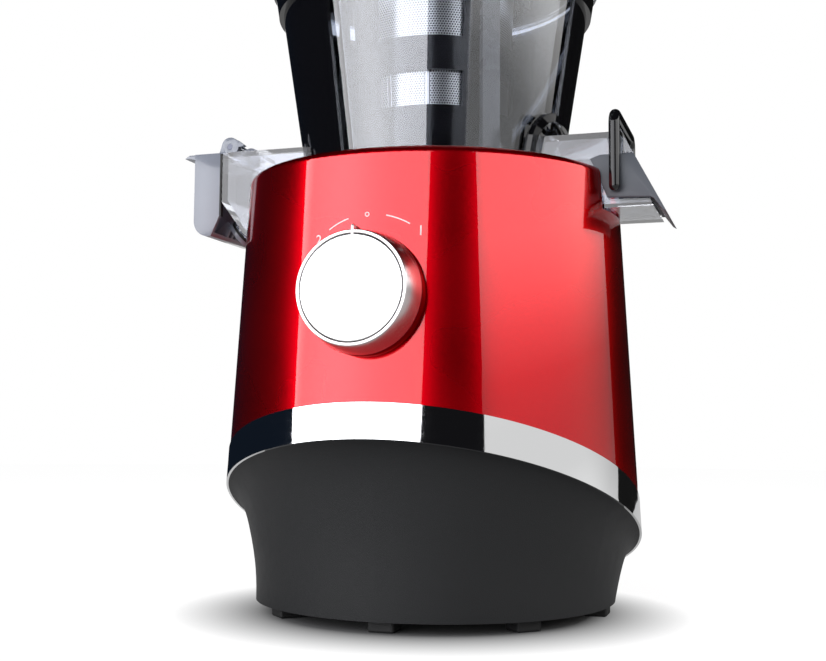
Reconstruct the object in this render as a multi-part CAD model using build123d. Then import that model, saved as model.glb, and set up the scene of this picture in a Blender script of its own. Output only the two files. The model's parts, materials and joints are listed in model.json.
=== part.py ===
"""Vertical slow juicer: tapered motor base with a slanted trim ring, juicing bowl, lid and pusher.

Frame: millimetres, +Z up. The origin lies on the drive axis at table height. The control knob
faces -Y, the juice spout points to -X and the pulp spout to +X.
"""
import os
from math import acos, atan, atan2, cos, degrees, hypot, pi, radians, sin, sqrt, tan

from build123d import *

os.makedirs("parts", exist_ok=True)

# ---------------------------------------------------------------- general fits
WALL = 2.5              # moulded wall of the covers
FIT = 0.35              # gap between pieces that move past each other
SEAT = 0.1              # gap between pieces that are assembled into each other
RUN = 0.05              # radial clearance of a shaft in its bearing
FAR = 400.0             # reach of a cutter that passes the whole object

# ---------------------------------------------------------------- body outline
FOOT_H = 5.5            # height of the lower edge above the table
BODY_R = 98.0           # outer radius of the body at the trim ring
BODY_TAPER = 8.3        # how much less that radius is at the rim
BODY_TOP_R = BODY_R - BODY_TAPER
RIM_Z = 205.2           # top of the rim
RIM_ROUND = 3.5
LIP_W = 5.2             # width of the flat lip at the rim
LIP_T = 3.0
BODY_WALL = 3.0
TRIM_TILT = 21.4        # slant of the trim ring, high at the front
TRIM_LOW_Z = 43.6       # lower edge of the trim ring on the drive axis
TRIM_H = 15.4           # height of the ring, measured upright
TRIM_TOP_Z = TRIM_LOW_Z + TRIM_H
TRIM_T = 2.0            # thickness of the ring
TRIM_PROUD = 0.5        # how far the ring stands out of the body
SKIRT_T = 2.0           # inner skirt of the body behind the ring

BASE_IN = 11.5          # how far the base's lower edge lies inside the ring's radius
BASE_R = BODY_R - BASE_IN
BASE_FLARE = 0.16       # growth of that radius per millimetre of height
BASE_BACK = 10.0        # the base's own centre lies this far behind the drive axis
COVE_H = 14.0           # height of the hollow cove under the ring
BASE_POINTS = 24        # points of each outline of the base

FOOT_COUNT = 8
FOOT_IN = 8.5           # the feet's centres lie this far inside the base's edge
FOOT_R = BASE_R - FOOT_IN
FOOT_W = 12.0
FOOT_D = 11.0
FOOT_ROUND = 1.2
PLATE_T = 2.5           # bottom plate
PLATE_BOSS_R = 5.0
PLATE_BOSS_IN = 16.5
PLATE_BOSS_PITCH = BASE_R - PLATE_BOSS_IN
PLATE_BOSS_H = 12.0
PLATE_BOSS_AT = (-190.0, -130.0, -50.0, 10.0)
SCREW_R = 2.0
SCREW_HEAD_R = 3.8
SCREW_HEAD_H = 2.0
VENT_W = 3.0
VENT_COUNT = 9
VENT_PITCH = 6.5

# ---------------------------------------------------------------- deck
DECK_Z = RIM_Z - LIP_T  # top of the deck, under the lip
DECK_H = 26.2
DECK_LOW_Z = DECK_Z - DECK_H
RECESS_IN = 21.7        # the recess is this much narrower than the rim
RECESS_R = BODY_TOP_R - RECESS_IN
RECESS_D = 23.7         # depth of the recess below the rim
RECESS_Z = RIM_Z - RECESS_D
NOTCH_GAP = 3.0         # room beside a spout in its notch
POST_R = 5.0
POST_PITCH_R = 46.0
POST_COUNT = 4
SCREW_HOLE_D = 14.0     # depth of the screw holes in the posts
SCREW_BITE = 12.0       # how far the screws reach into them

# ---------------------------------------------------------------- planetary gears
MODULE = 1.25
SUN_TEETH = 12
PLANET_TEETH = 18
RING_TEETH = SUN_TEETH + 2 * PLANET_TEETH
GEAR_W = 9.0
TOOTH_SHARE = 0.44      # tooth thickness as a share of the pitch, which leaves the backlash
ADDENDUM = 0.8
RING_ADDENDUM = 0.7
DEDENDUM = 1.1
PRESSURE = 20.0
PLANETS = 3
PLANET_PIN_R = 2.5
CARRIER_T = 4.0
GEAR_RIM = 5.0          # metal outside the pitch circle of a ring gear
STAGE_GAP = 1.0         # axial play between a gear and its neighbour

# ---------------------------------------------------------------- motor and gearbox
MOTOR_Z = 30.0          # lower end of the motor can
MOTOR_H = 68.0
MOTOR_R = 40.0
CAN_T = 1.5
STATOR_R = 23.0         # bore of the stator
STATOR_H = 46.0
SLOTS = 12
SLOT_R = 31.0           # pitch radius of the coils
COIL_R = 3.4
COIL_OVER = 5.0         # how far the coils stand out of the stator
AIR_GAP = 0.6
SHAFT_R = 4.0
BEARING_R = 11.0
BEARING_W = 7.0
BEARING_SEAT_T = 2.5
FLANGE_T = 3.0
CASE_NECK_R = 26.0
CASE_WALL = 3.0
CASE_LOW_Z = 106.0
COVER_T = 4.0
COVER_R = 53.0
COVER_BOSS_H = 9.0
OUTPUT_R = 8.0
OUTPUT_BEARING_R = 15.0
HEX_AF = 12.0           # across flats of the drive shaft's hexagon
HEX_UP = 4.5            # lower end of the hexagon above the recess floor
HEX_Z = RECESS_Z + HEX_UP
FAN_R = 33.0
FAN_HUB_R = 9.0
FAN_BLADES = 9
FAN_BLADE_T = 1.5
FAN_PITCH = 35.0        # slant of the blades
FAN_H = 9.0
FAN_Z = 16.0

# ---------------------------------------------------------------- knob, switch, board and inlet
KNOB_Z = 141.0
KNOB_SKIRT_R = 26.0
KNOB_FACE_R = 23.0
KNOB_H = 20.0
KNOB_GAP = 0.5
KNOB_WALL = 2.0
DIAL_T = 1.2            # bright disc on the front of the knob
DIAL_RIM = 1.4          # rim of the knob around that disc
KNOB_SHAFT_R = 3.0
KNOB_HUB_R = 6.0
POINTER_W = 4.0
POINTER_OUT = 1.6
SWITCH_R = 15.0
SWITCH_D = 16.0
BUSHING_R = 6.0
BOARD_Y = 62.0
BOARD_W = 64.0
BOARD_H = 46.0
BOARD_T = 1.6
BOARD_RIB = 8.0
# each relay's x, width, height and depth
RELAYS = ((-20.0, 16.0, 18.0, 12.0), (0.0, 12.0, 14.0, 9.0), (19.0, 13.0, 22.0, 11.0))
INLET_Z = 48.0
INLET_R = 9.0
INLET_FLANGE_R = 12.0
INLET_BORE_R = 3.8

# ---------------------------------------------------------------- bowl
BOWL_FLOOR_DOWN = 2.2   # the bowl's floor lies this far below the rim
BOWL_FLOOR_Z = RIM_Z - BOWL_FLOOR_DOWN
BOWL_H = 109.0
BOWL_TOP_Z = BOWL_FLOOR_Z + BOWL_H
BOWL_FLOOR_T = 3.0
BOWL_WALL = 2.4
BOWL_FLARE = 0.157
SHROUD_REF_UP = 27.5    # height above the floor at which the shroud's radius is given
BOWL_REF_Z = BOWL_FLOOR_Z + SHROUD_REF_UP
SHROUD_IN = 1.8         # the shroud is this much narrower there than the recess
SHROUD_R = RECESS_R - SHROUD_IN
SHROUD_T = 2.0
BOWL_SKIRT_R = RECESS_R - FIT
SKIRT_DOWN = 5.0        # top of the skirt below the floor
SKIRT_TOP_Z = BOWL_FLOOR_Z - SKIRT_DOWN
SHOULDER_DOWN = 2.0
SHOULDER_Z = BOWL_FLOOR_Z - SHOULDER_DOWN
WINDOW_FROM = -25.0     # the clear window, counted from the knob towards the pulp spout
WINDOW_TO = 78.0
SHROUD_GAP = 1.3        # gap between the rim and the shroud
SHROUD_LOW_Z = RIM_Z + SHROUD_GAP
SHROUD_SHORT = 12.0     # the shroud ends this far below the bowl's edge
SHROUD_TOP_Z = BOWL_TOP_Z - SHROUD_SHORT
COLLAR_H = 12.0
COLLAR_Z = SHROUD_TOP_Z - COLLAR_H
COLLAR_T = 2.2
BOWL_SEAL_R = 13.5
HUB_R = 10.0
LEDGE_W = 4.5
LEDGE_T = 2.5

SPOUT_HALF = 22.0       # half width of both spouts
SPOUT_T = 2.2
NOTCH_HALF = SPOUT_HALF + NOTCH_GAP
JUICE_UP = 0.5          # the juice spout's floor above the recess floor
JUICE_LOW_Z = RECESS_Z + JUICE_UP
JUICE_H = 42.7
JUICE_TOP_Z = JUICE_LOW_Z + JUICE_H
JUICE_REACH = 37.0      # how far the juice spout reaches past the recess
JUICE_END_X = RECESS_R + JUICE_REACH
JUICE_CUT_X = 13.0      # the lower outer corner is cut off over this width ...
JUICE_CUT_Z = 17.5      # ... and this height
NOZZLE_R = 8.0
NOZZLE_WALL = 1.6
NOZZLE_LEN = 5.0
PORT_HALF = 17.0
PULP_UP = 5.0           # the pulp spout's underside above the recess floor
PULP_LOW_Z = RECESS_Z + PULP_UP
PULP_H = 35.0
PULP_TOP_Z = PULP_LOW_Z + PULP_H
PULP_NOTCH_DOWN = 1.0   # room below the pulp spout in its notch
PULP_NOTCH_Z = PULP_LOW_Z - PULP_NOTCH_DOWN
PULP_REACH = 27.3       # how far the pulp spout's upper edge reaches past the recess
PULP_MOUTH_X = RECESS_R + PULP_REACH
MOUTH_TILT = 27.8       # slant of the mouth from upright
MOUTH_STEP = 10.0       # the gate lies in front of the mouth below this step
MOUTH_STEP_Z = PULP_TOP_Z - MOUTH_STEP
TUNNEL_HALF = 12.0
TUNNEL_LOW_Z = PULP_LOW_Z + SPOUT_T
TUNNEL_X = 16.0         # inner end of the pulp tunnel under the bowl's floor
ARCH_HALF = 31.0        # half width of the black arch around the pulp port
ARCH_OVER = 11.5        # height of the arch above the pulp spout
ARCH_Z = PULP_TOP_Z + ARCH_OVER
ARCH_BAND = 3.2
ARCH_ROUND = 14.0

# ---------------------------------------------------------------- juice cap
CAP_GAP = 0.4
CAP_SEAL_T = 1.0
CAP_T = 2.0
CAP_DEPTH = 14.2
CAP_LIP = 6.3
CAP_LIP_T = 1.8
CAP_ROUND = 8.0
CAP_UP = 0.5            # the cap's lower edge above the spout's floor
CAP_LOW_Z = JUICE_LOW_Z + CAP_UP
CAP_CHIN_X = 4.5        # the cap's lower inner corner is cut off over this width ...
CAP_CHIN_Z = 9.9        # ... and this height
CAP_SIDE_Z = CAP_LOW_Z + CAP_CHIN_Z
PLUG_T = 2.0
PLUG_WEB_T = 2.0
PIN_R = 1.5
HINGE_UP = 5.2          # height of the cap's pin above the spout
HINGE_LUG_R = 3.0
EAR_R = 4.8
EAR_T = 3.0
EAR_Y = 12.0
EAR_FOOT = 7.0          # how far the ear's foot reaches past the pin
BEAK = 8.0
BUMP_IN = 9.0           # the latch bump starts this far from the spout's end
BUMP_L = 7.2
BUMP_H = 4.4

# ---------------------------------------------------------------- pulp gate and bail
GATE_T = 2.0
GATE_SEAL_T = 1.2
GATE_TIP_DOWN = 3.3     # the gate's tip below the spout
GATE_TIP_Z = PULP_LOW_Z - GATE_TIP_DOWN
# outline of a cheek: its upper edge from the mouth's upper end, its lower edge from the spout's underside
GATE_UPPER = ((-13.7, -12.5), (-9.1, -10.9), (-5.0, -10.9), (-5.0, -4.5), (0.0, -4.5), (0.0, -10.9))
GATE_LOWER = ((12.7, 3.9), (-6.0, 4.4))
HINGE_IN = 2.5          # the gate's hinge behind the mouth's upper end ...
HINGE_DOWN = 4.5        # ... and below it
HINGE_X = PULP_MOUTH_X - HINGE_IN
HINGE_Z = PULP_TOP_Z - HINGE_DOWN
HINGE_EYE_R = 3.2
STUB_R = 1.6
BAIL_R = 2.5
BAIL_IN = 2.3
BAIL_X = PULP_MOUTH_X - BAIL_IN
BAIL_UP = 9.0           # the bail's pivot above the spout's underside
BAIL_Z = PULP_LOW_Z + BAIL_UP
BAIL_OVER = 10.0        # top of the bail above the spout
BAIL_TOP_Z = PULP_TOP_Z + BAIL_OVER
BAIL_BEND_R = 5.0
BAIL_PIN_R = 1.2

# ---------------------------------------------------------------- strainer
TRAIN_MODULE = 1.5      # gears that drive the wiper, under the strainer
TRAIN_SUN_TEETH = 16
TRAIN_IDLER_TEETH = 12
TRAIN_RING_TEETH = TRAIN_SUN_TEETH + 2 * TRAIN_IDLER_TEETH
TRAIN_W = 7.0
TRAIN_RIM = 4.5
TRAIN_GAP = 1.2         # gears above the bowl's floor
STRAINER_R = 39.0       # outer radius at the lower edge of the lower mesh
STRAINER_FLARE = 0.06
STRAINER_T = 3.0
STRAINER_OVER = 3.3     # the strainer's floor above the gears
STRAINER_LOW_Z = BOWL_FLOOR_Z + TRAIN_GAP + TRAIN_W + STRAINER_OVER
STRAINER_FLOOR = 3.0
RIM_FLANGE_DOWN = 4.0   # the strainer's flange below the bowl's edge
RIM_FLANGE_Z = BOWL_TOP_Z - RIM_FLANGE_DOWN
RIM_FLANGE_T = 2.5
MESH_LOW_UP = 22.0      # lower mesh above the strainer's lower edge
MESH_LOW_H = 16.5
MESH_HIGH_DOWN = 9.0    # upper mesh below the flange
MESH_HIGH_H = 30.0
MESH_LOW_Z = STRAINER_LOW_Z + MESH_LOW_UP
MESH_HIGH_Z = RIM_FLANGE_Z - MESH_HIGH_DOWN - MESH_HIGH_H
MESH_BANDS = ((MESH_LOW_Z, MESH_LOW_Z + MESH_LOW_H), (MESH_HIGH_Z, MESH_HIGH_Z + MESH_HIGH_H))
MESH_T = 0.8
MESH_LAP = 1.5
WINDOW_COUNT = 4
WINDOW_ARC = 64.0
WINDOW_START = 5.0
SLEEVE_X = 16.0         # pulp sleeve: inner end ...
SLEEVE_L = 11.4         # ... length ...
SLEEVE_HALF = 7.0       # ... and half width
SLEEVE_T = 1.2
NECK_R = 14.0           # neck of the auger in the strainer's floor

# ---------------------------------------------------------------- wiper
IDLER_PIN_R = 2.5
WIPER_GAP = 5.6         # arms outside the strainer's lower mesh
WIPER_R = STRAINER_R + WIPER_GAP
WIPER_T = 3.0
WIPER_DOWN = 8.0        # top of the wiper below the strainer's flange
WIPER_TOP_Z = RIM_FLANGE_Z - WIPER_DOWN
WIPER_WEB = 2.5
WIPER_HOOP = 4.0
WIPER_ARMS = 3
WIPER_START = 51.0
ARM_ARC = 12.0          # width of an arm in degrees
BLADE_ARC = 2.4
BLADE_GAP = 0.5
BLADE_UP = 2.0          # lower end of the blades above the strainer's lower edge
BLADE_DOWN = 1.0        # upper end of the blades below the hoop
TRACK_T = 2.2
TRACK_H = 4.5

# ---------------------------------------------------------------- auger
AUGER_R = 17.0          # core above the strainer's floor
AUGER_TOP_R = 12.0
AUGER_DOWN = 14.0       # top of the core below the bowl's edge
AUGER_TOP_Z = BOWL_TOP_Z - AUGER_DOWN
FLIGHT_PITCH = 52.0
FLIGHT_TURNS = 1.25
FLIGHT_T = 4.5
FLIGHT_STARTS = 2
FLIGHT_START = 30.0
FLIGHT_UP = 2.0         # start of the flights above the core's lower end
FLIGHT_GAP = 0.7
AUGER_PIN_R = 4.5
DRIVE_UP = 35.0         # how far the drive shaft reaches above the bowl's floor
DRIVE_TOP_Z = BOWL_FLOOR_Z + DRIVE_UP
SOCKET_END = 1.5        # socket beyond the end of the drive shaft
SOCKET_TOP_Z = DRIVE_TOP_Z + SOCKET_END
COUPLING_R = 8.6

# ---------------------------------------------------------------- lid, chute and pusher
LID_OVER = 14.8         # the lid is this much wider than the shroud's given radius
LID_R = SHROUD_R + LID_OVER
LID_GAP = 1.0           # the lid's edge above the shroud
LID_LOW_Z = SHROUD_TOP_Z + LID_GAP
LID_EDGE_UP = 4.5       # the lid's shoulder above the bowl's edge
LID_EDGE_Z = BOWL_TOP_Z + LID_EDGE_UP
LID_T = 2.5
DOME_H = 18.0
DOME_Z = BOWL_TOP_Z + DOME_H
CHUTE_R = 33.0          # inside radius of the chute
CHUTE_Y = -6.0
CHUTE_T = 2.5
CHUTE_H = 100.0         # top of the chute above the bowl's edge
CHUTE_TOP_Z = BOWL_TOP_Z + CHUTE_H
CHUTE_GAP = 1.8         # lower edge of the chute above the strainer
CHUTE_LOW_Z = RIM_FLANGE_Z + CHUTE_GAP
DOME_OVER = 13.0        # the dome's flat top is this much wider than the chute
DOME_R = CHUTE_R + DOME_OVER
MOUTH_OVER = 9.0        # the feed mouth is this much wider than the chute
MOUTH_R = CHUTE_R + MOUTH_OVER
MOUTH_H = 16.0
BRIDGE_W = 6.0
BRIDGE_H = 8.0
BRIDGE_ROOF = 2.0       # bridge left above the auger's pin
BRIDGE_BOSS_R = 8.0
BRIDGE_BOSS_DOWN = 5.0  # how far the boss hangs below the bridge
BRIDGE_UP = 6.0
BRIDGE_Z = BOWL_TOP_Z + BRIDGE_UP
PUSHER_GAP = 0.8
PUSHER_T = 2.5
PUSHER_L = 67.0         # length of the pusher inside the chute
PUSHER_LOW_Z = CHUTE_TOP_Z - PUSHER_L
PUSHER_CAP_OVER = 5.0
PUSHER_CAP_R = CHUTE_R + PUSHER_CAP_OVER
PUSHER_CAP_H = 26.0
PUSHER_FLANGE_IN = 0.5  # the flange is this much narrower than the mouth
PUSHER_FLANGE_R = MOUTH_R - PUSHER_FLANGE_IN
PUSHER_ROUND = 5.0

# ================================================================ helpers
def near(face, point):
    target = Vector(*point)
    return min(face.vertices(), key=lambda v: (Vector(*v) - target).length)


def lathe(points, rounds=()):
    """A solid of revolution about Z from (radius, height) points; rounds holds (corner, radius)."""
    face = make_face(Polyline(*points, close=True))
    for corner, radius in rounds:
        face = fillet(near(face, points[corner]), radius)
    return revolve(Plane.XZ * face, Axis.Z)


def tube(outer, inner, low, high):
    return lathe([(inner, low), (outer, low), (outer, high), (inner, high)])


def rod(radius, low, high, x=0.0, y=0.0):
    return Pos(x, y, (low + high) / 2) * Cylinder(radius, high - low)


def block(x0, x1, y0, y1, z0, z1):
    return Pos((x0 + x1) / 2, (y0 + y1) / 2, (z0 + z1) / 2) * Box(x1 - x0, y1 - y0, z1 - z0)


def plate_xz(points, y0, y1, rounds=()):
    """A flat piece whose outline lies in the X-Z plane, between two Y values."""
    face = make_face(Polyline(*points, close=True))
    for corner, radius in rounds:
        face = fillet(near(face, points[corner]), radius)
    return extrude(Plane((0, y0, 0), (1, 0, 0), (0, -1, 0)) * face, -(y1 - y0))


def rod_y(radius, y0, y1, x, z):
    return Pos(x, (y0 + y1) / 2, z) * Rot(X=90) * Cylinder(radius, y1 - y0)


def polar(shape, count, start=0.0):
    return [Rot(Z=start + 360 / count * i) * shape for i in range(count)]


def both_sides(shape):
    """A piece and its mirror image across the X-Z plane."""
    return [shape, mirror(shape, Plane.XZ)]


def sector(start, end, radius, low, high):
    """A wedge between two azimuths, counted from -Y towards +X."""
    steps = max(2, round((end - start) / 20))
    reach = radius / cos(radians((end - start) / steps / 2))
    rim = [start + (end - start) * i / steps for i in range(steps + 1)]
    points = [(0, 0)] + [(reach * sin(radians(a)), -reach * cos(radians(a))) for a in rim]
    return Pos(0, 0, low) * extrude(make_face(Polyline(*points, close=True)), high - low)


def body_r(z):
    """Outer radius of the tapered body."""
    return BODY_R - (BODY_R - BODY_TOP_R) * (z - TRIM_TOP_Z) / (RIM_Z - TRIM_TOP_Z)


def shroud_r(z):
    return SHROUD_R + BOWL_FLARE * (z - BOWL_REF_Z)


def bowl_r(z):
    """Outer radius of the clear bowl."""
    return shroud_r(z) - SHROUD_T - SEAT


def strainer_r(z):
    return STRAINER_R + STRAINER_FLARE * (z - MESH_BANDS[0][0])


def cone(radius_at, low, high, inset=0.0):
    return lathe([(0, low), (radius_at(low) - inset, low), (radius_at(high) - inset, high), (0, high)])


def sleeve(radius_at, low, high, outset, inset):
    """A conical shell that follows radius_at between two heights."""
    return lathe([(radius_at(low) - inset, low), (radius_at(low) - outset, low),
                  (radius_at(high) - outset, high), (radius_at(high) - inset, high)])


def under_tilt(z):
    """Everything below the slanted plane that crosses the drive axis at z."""
    return Pos(0, 0, z) * Rot(X=-TRIM_TILT) * Pos(0, 0, -FAR / 2) * Box(FAR, FAR, FAR)


def gear_face(teeth, module, internal=False):
    """Involute gear outline; an internal one is the hole of a ring gear."""
    pitch_r = module * teeth / 2
    base_r = pitch_r * cos(radians(PRESSURE))
    side = -1 if internal else 1
    tip_r = pitch_r + side * module * (RING_ADDENDUM if internal else ADDENDUM)
    root_r = pitch_r - side * module * DEDENDUM
    involute_at_pitch = tan(radians(PRESSURE)) - radians(PRESSURE)

    def half_angle(r):
        roll = acos(min(1.0, base_r / r))
        return pi * TOOTH_SHARE / teeth + side * (involute_at_pitch - (tan(roll) - roll))

    points = []
    for tooth in range(teeth):
        centre = 2 * pi * tooth / teeth
        for r, way in ((root_r, -1), (tip_r, -1), (tip_r, 1), (root_r, 1)):
            angle = centre + way * half_angle(r)
            points.append((r * cos(angle), r * sin(angle)))
    return make_face(Polyline(*points, close=True))


def gear(teeth, module, low, high):
    return Pos(0, 0, low) * extrude(gear_face(teeth, module), high - low)


def ring_gear(teeth, module, low, high, outer):
    hole = Pos(0, 0, low - 1) * extrude(gear_face(teeth, module, internal=True), high - low + 2)
    return rod(outer, low, high) - hole


def hexagon(across_flats, low, high):
    return Pos(0, 0, low) * extrude(RegularPolygon(across_flats / 2, 6, major_radius=False), high - low)


nodes = {}


def keep(name, *shapes):
    """Store one named sub-part; it may hold several separate solids."""
    solids = [s for shape in shapes for s in shape.solids()]
    nodes[name] = solids[0] if len(solids) == 1 else Compound(children=solids)


# ================================================================ base and trim ring
def base_section(offset, share, inset):
    """Closed outline of the base on the slanted plane offset from the ring's lower edge.

    share blends from the base's own cone, 0, to the ring's radius, 1.
    """
    slope = tan(radians(TRIM_TILT))
    height = TRIM_LOW_Z + offset
    outline = []
    for i in range(BASE_POINTS):
        azimuth = 2 * pi * i / BASE_POINTS
        reach = BODY_R
        for _ in range(6):
            z = height + slope * reach * cos(azimuth)
            own_r = BASE_R + BASE_FLARE * (z - FOOT_H) - inset
            own = -BASE_BACK * cos(azimuth) + sqrt(own_r ** 2 - (BASE_BACK * sin(azimuth)) ** 2)
            reach = own + share * (body_r(z) - TRIM_PROUD - inset - own)
        y = -reach * cos(azimuth)
        outline.append((reach * sin(azimuth), y, height - slope * y))
    return Face(Wire(Spline(*outline, periodic=True)))


def base_form(inset):
    """Solid form of the base up to the ring, with the hollow cove under the ring."""
    low = -(TRIM_LOW_Z + BODY_R * tan(radians(TRIM_TILT)))
    steps = [(low, 0), (low / 2, 0), (-COVE_H, 0), (-0.55 * COVE_H, 0.12), (-0.2 * COVE_H, 0.42), (0, 1)]
    return loft([base_section(offset, share, inset) for offset, share in steps])


below_base = block(-FAR, FAR, -FAR, FAR, -FAR, FOOT_H)
PLATE_R = BASE_R - WALL - FIT
plate_top = FOOT_H + PLATE_T
boss = rod(PLATE_BOSS_R, plate_top, plate_top + PLATE_BOSS_H, x=PLATE_BOSS_PITCH)
boss += block(PLATE_BOSS_PITCH, BASE_R + WALL, -WALL / 2, WALL / 2, plate_top, plate_top + PLATE_BOSS_H)
boss -= rod(SCREW_R + SEAT, plate_top - 1, plate_top + PLATE_BOSS_H - WALL, x=PLATE_BOSS_PITCH)
base_outer = base_form(0.0) - below_base
lower_base = base_outer - base_form(WALL)


def at_bosses(shape):
    """Copies of a piece drawn on the +X side, one at each screw of the bottom plate."""
    return [Pos(0, BASE_BACK, 0) * Rot(Z=angle) * shape for angle in PLATE_BOSS_AT]


for piece in at_bosses(boss):
    lower_base += piece & base_outer
keep("lower_base", lower_base)

bottom_plate = rod(PLATE_R, FOOT_H, plate_top, y=BASE_BACK) & base_form(WALL + FIT)
for i in range(VENT_COUNT):
    x = (i - (VENT_COUNT - 1) / 2) * VENT_PITCH
    half = sqrt(FAN_R ** 2 - x ** 2)
    bottom_plate -= block(x - VENT_W / 2, x + VENT_W / 2, -half, half, 0, 2 * plate_top)
plate_screw = rod(SCREW_R, FOOT_H + SCREW_HEAD_H, plate_top + PLATE_BOSS_H / 2, x=PLATE_BOSS_PITCH)
plate_screw += rod(SCREW_HEAD_R, FOOT_H, FOOT_H + SCREW_HEAD_H, x=PLATE_BOSS_PITCH)
screw_hole = rod(SCREW_HEAD_R + SEAT, 0, FOOT_H + SCREW_HEAD_H, x=PLATE_BOSS_PITCH)
screw_hole += rod(SCREW_R + SEAT, 0, 2 * plate_top, x=PLATE_BOSS_PITCH)
for piece in at_bosses(screw_hole):
    bottom_plate -= piece
rib_top = plate_top + BOARD_RIB
for x in (-BOARD_W / 3, BOARD_W / 3):
    rib = block(x - WALL, x + WALL, BOARD_Y - WALL, BOARD_Y + BOARD_T + WALL, plate_top, rib_top)
    bottom_plate += rib - block(x - FAR, x + FAR, BOARD_Y, BOARD_Y + BOARD_T, plate_top + WALL, FAR)
keep("bottom_plate", bottom_plate)
keep("plate_screws", *at_bosses(plate_screw))

foot = Pos(0, -FOOT_R, FOOT_H / 2) * Box(FOOT_W, FOOT_D, FOOT_H)
foot = fillet(foot.edges().filter_by(Axis.Z) + foot.edges().group_by(Axis.Z)[0], FOOT_ROUND)
keep("rubber_feet", *[Pos(0, BASE_BACK, 0) * piece for piece in polar(foot, FOOT_COUNT)])

band_low = TRIM_LOW_Z - BODY_R * tan(radians(TRIM_TILT)) - TRIM_H
band_high = TRIM_TOP_Z + BODY_R * tan(radians(TRIM_TILT)) + TRIM_H
trim_ring = sleeve(body_r, band_low, band_high, -TRIM_PROUD, TRIM_T - TRIM_PROUD)
keep("trim_ring", (trim_ring & under_tilt(TRIM_TOP_Z)) - under_tilt(TRIM_LOW_Z))

# ================================================================ body shell
lip_r = BODY_TOP_R - LIP_W
shell = lathe(
    [(body_r(band_low), band_low), (BODY_TOP_R, RIM_Z), (lip_r, RIM_Z), (lip_r, DECK_Z),
     (body_r(DECK_Z) - BODY_WALL, DECK_Z), (body_r(band_low) - BODY_WALL, band_low)],
    [(1, RIM_ROUND), (2, 1.0)])
shell -= under_tilt(TRIM_TOP_Z)
skirt_out = TRIM_T - TRIM_PROUD + SEAT
skirt = sleeve(body_r, band_low, band_high, skirt_out, skirt_out + SKIRT_T)
shell += (skirt & under_tilt(TRIM_TOP_Z + SKIRT_T)) - under_tilt(TRIM_LOW_Z)
juice_notch = block(-FAR, -RECESS_R / 2, -NOTCH_HALF, NOTCH_HALF, RECESS_Z, FAR)
pulp_notch = block(RECESS_R / 2, FAR, -NOTCH_HALF, NOTCH_HALF, PULP_NOTCH_Z, FAR)
knob_tilt = degrees(atan((BODY_R - BODY_TOP_R) / (RIM_Z - TRIM_TOP_Z)))
# the knob's own frame: origin on the body's surface, +Z along the knob's axis, +Y up
knob_frame = Pos(0, -body_r(KNOB_Z), KNOB_Z) * Rot(X=90 - knob_tilt)
shell -= knob_frame * rod(KNOB_SHAFT_R + FIT, -2 * BODY_WALL, 2 * BODY_WALL)
inlet_frame = Pos(0, body_r(INLET_Z), INLET_Z) * Rot(X=-90 + knob_tilt)
shell -= inlet_frame * rod(INLET_R, -2 * BODY_WALL, 2 * BODY_WALL)
keep("body_shell", shell - juice_notch - pulp_notch)

gland = tube(INLET_R - SEAT, INLET_BORE_R, -BODY_WALL - WALL, SEAT)
gland += tube(INLET_FLANGE_R, INLET_BORE_R, 1.0, 1.0 + WALL) + tube(INLET_R - SEAT, INLET_BORE_R, 0, 1.5)
keep("inlet_gland", inlet_frame * gland)

# ================================================================ deck
deck = cone(body_r, DECK_LOW_Z, DECK_Z - SEAT, BODY_WALL + SEAT) - rod(RECESS_R, RECESS_Z, FAR)
deck -= juice_notch + pulp_notch
inner = cone(body_r, DECK_LOW_Z - 1, DECK_Z - WALL, BODY_WALL + WALL)
inner -= rod(RECESS_R + WALL, RECESS_Z - WALL, FAR)
inner -= block(-FAR, 0, -NOTCH_HALF - WALL, NOTCH_HALF + WALL, RECESS_Z - WALL, FAR)
inner -= block(0, FAR, -NOTCH_HALF - WALL, NOTCH_HALF + WALL, PULP_NOTCH_Z - WALL, FAR)
deck -= inner
case_in = MODULE * RING_TEETH / 2 + GEAR_RIM + SEAT
case_out = case_in + CASE_WALL
stage_1 = CASE_LOW_Z + FLANGE_T + STAGE_GAP
carrier_1_z = stage_1 + GEAR_W + STAGE_GAP
stage_2 = carrier_1_z + CARRIER_T + STAGE_GAP
carrier_2_z = stage_2 + GEAR_W + STAGE_GAP
case_top = carrier_2_z + CARRIER_T + STAGE_GAP
cover_top = case_top + SEAT + COVER_T
post_low = cover_top + SEAT
for piece in polar(rod(POST_R, post_low, RECESS_Z - WALL / 2, x=POST_PITCH_R), POST_COUNT, 45):
    deck += piece
post_hole = rod(SCREW_R + SEAT, post_low - 1, post_low + SCREW_HOLE_D, x=POST_PITCH_R)
for piece in polar(post_hole, POST_COUNT, 45):
    deck -= piece
deck -= rod(OUTPUT_R + FIT, DECK_LOW_Z, FAR)
keep("top_deck", deck)

# ================================================================ motor
motor_top = MOTOR_Z + MOTOR_H
seat_r = BEARING_R + BEARING_SEAT_T
can = tube(MOTOR_R, MOTOR_R - CAN_T, MOTOR_Z, motor_top)
for low, plate in ((MOTOR_Z, MOTOR_Z), (motor_top - BEARING_W - CAN_T, motor_top - CAN_T)):
    can += tube(MOTOR_R, BEARING_R - 2, plate, plate + CAN_T)
    can += tube(seat_r, BEARING_R, low, low + BEARING_W + CAN_T)
can -= rod(BEARING_R, MOTOR_Z + CAN_T, motor_top - CAN_T)
keep("motor_can", can)
middle = MOTOR_Z + MOTOR_H / 2
stator_low = middle - STATOR_H / 2
stator_top = middle + STATOR_H / 2
stator = tube(MOTOR_R - CAN_T, STATOR_R, stator_low, stator_top)
coil = rod(COIL_R, stator_low - COIL_OVER, stator_top + COIL_OVER, x=SLOT_R)
for piece in polar(rod(COIL_R + SEAT, stator_low - 1, stator_top + 1, x=SLOT_R), SLOTS):
    stator -= piece
keep("motor_stator", stator)
keep("motor_windings", *polar(coil, SLOTS))
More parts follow.
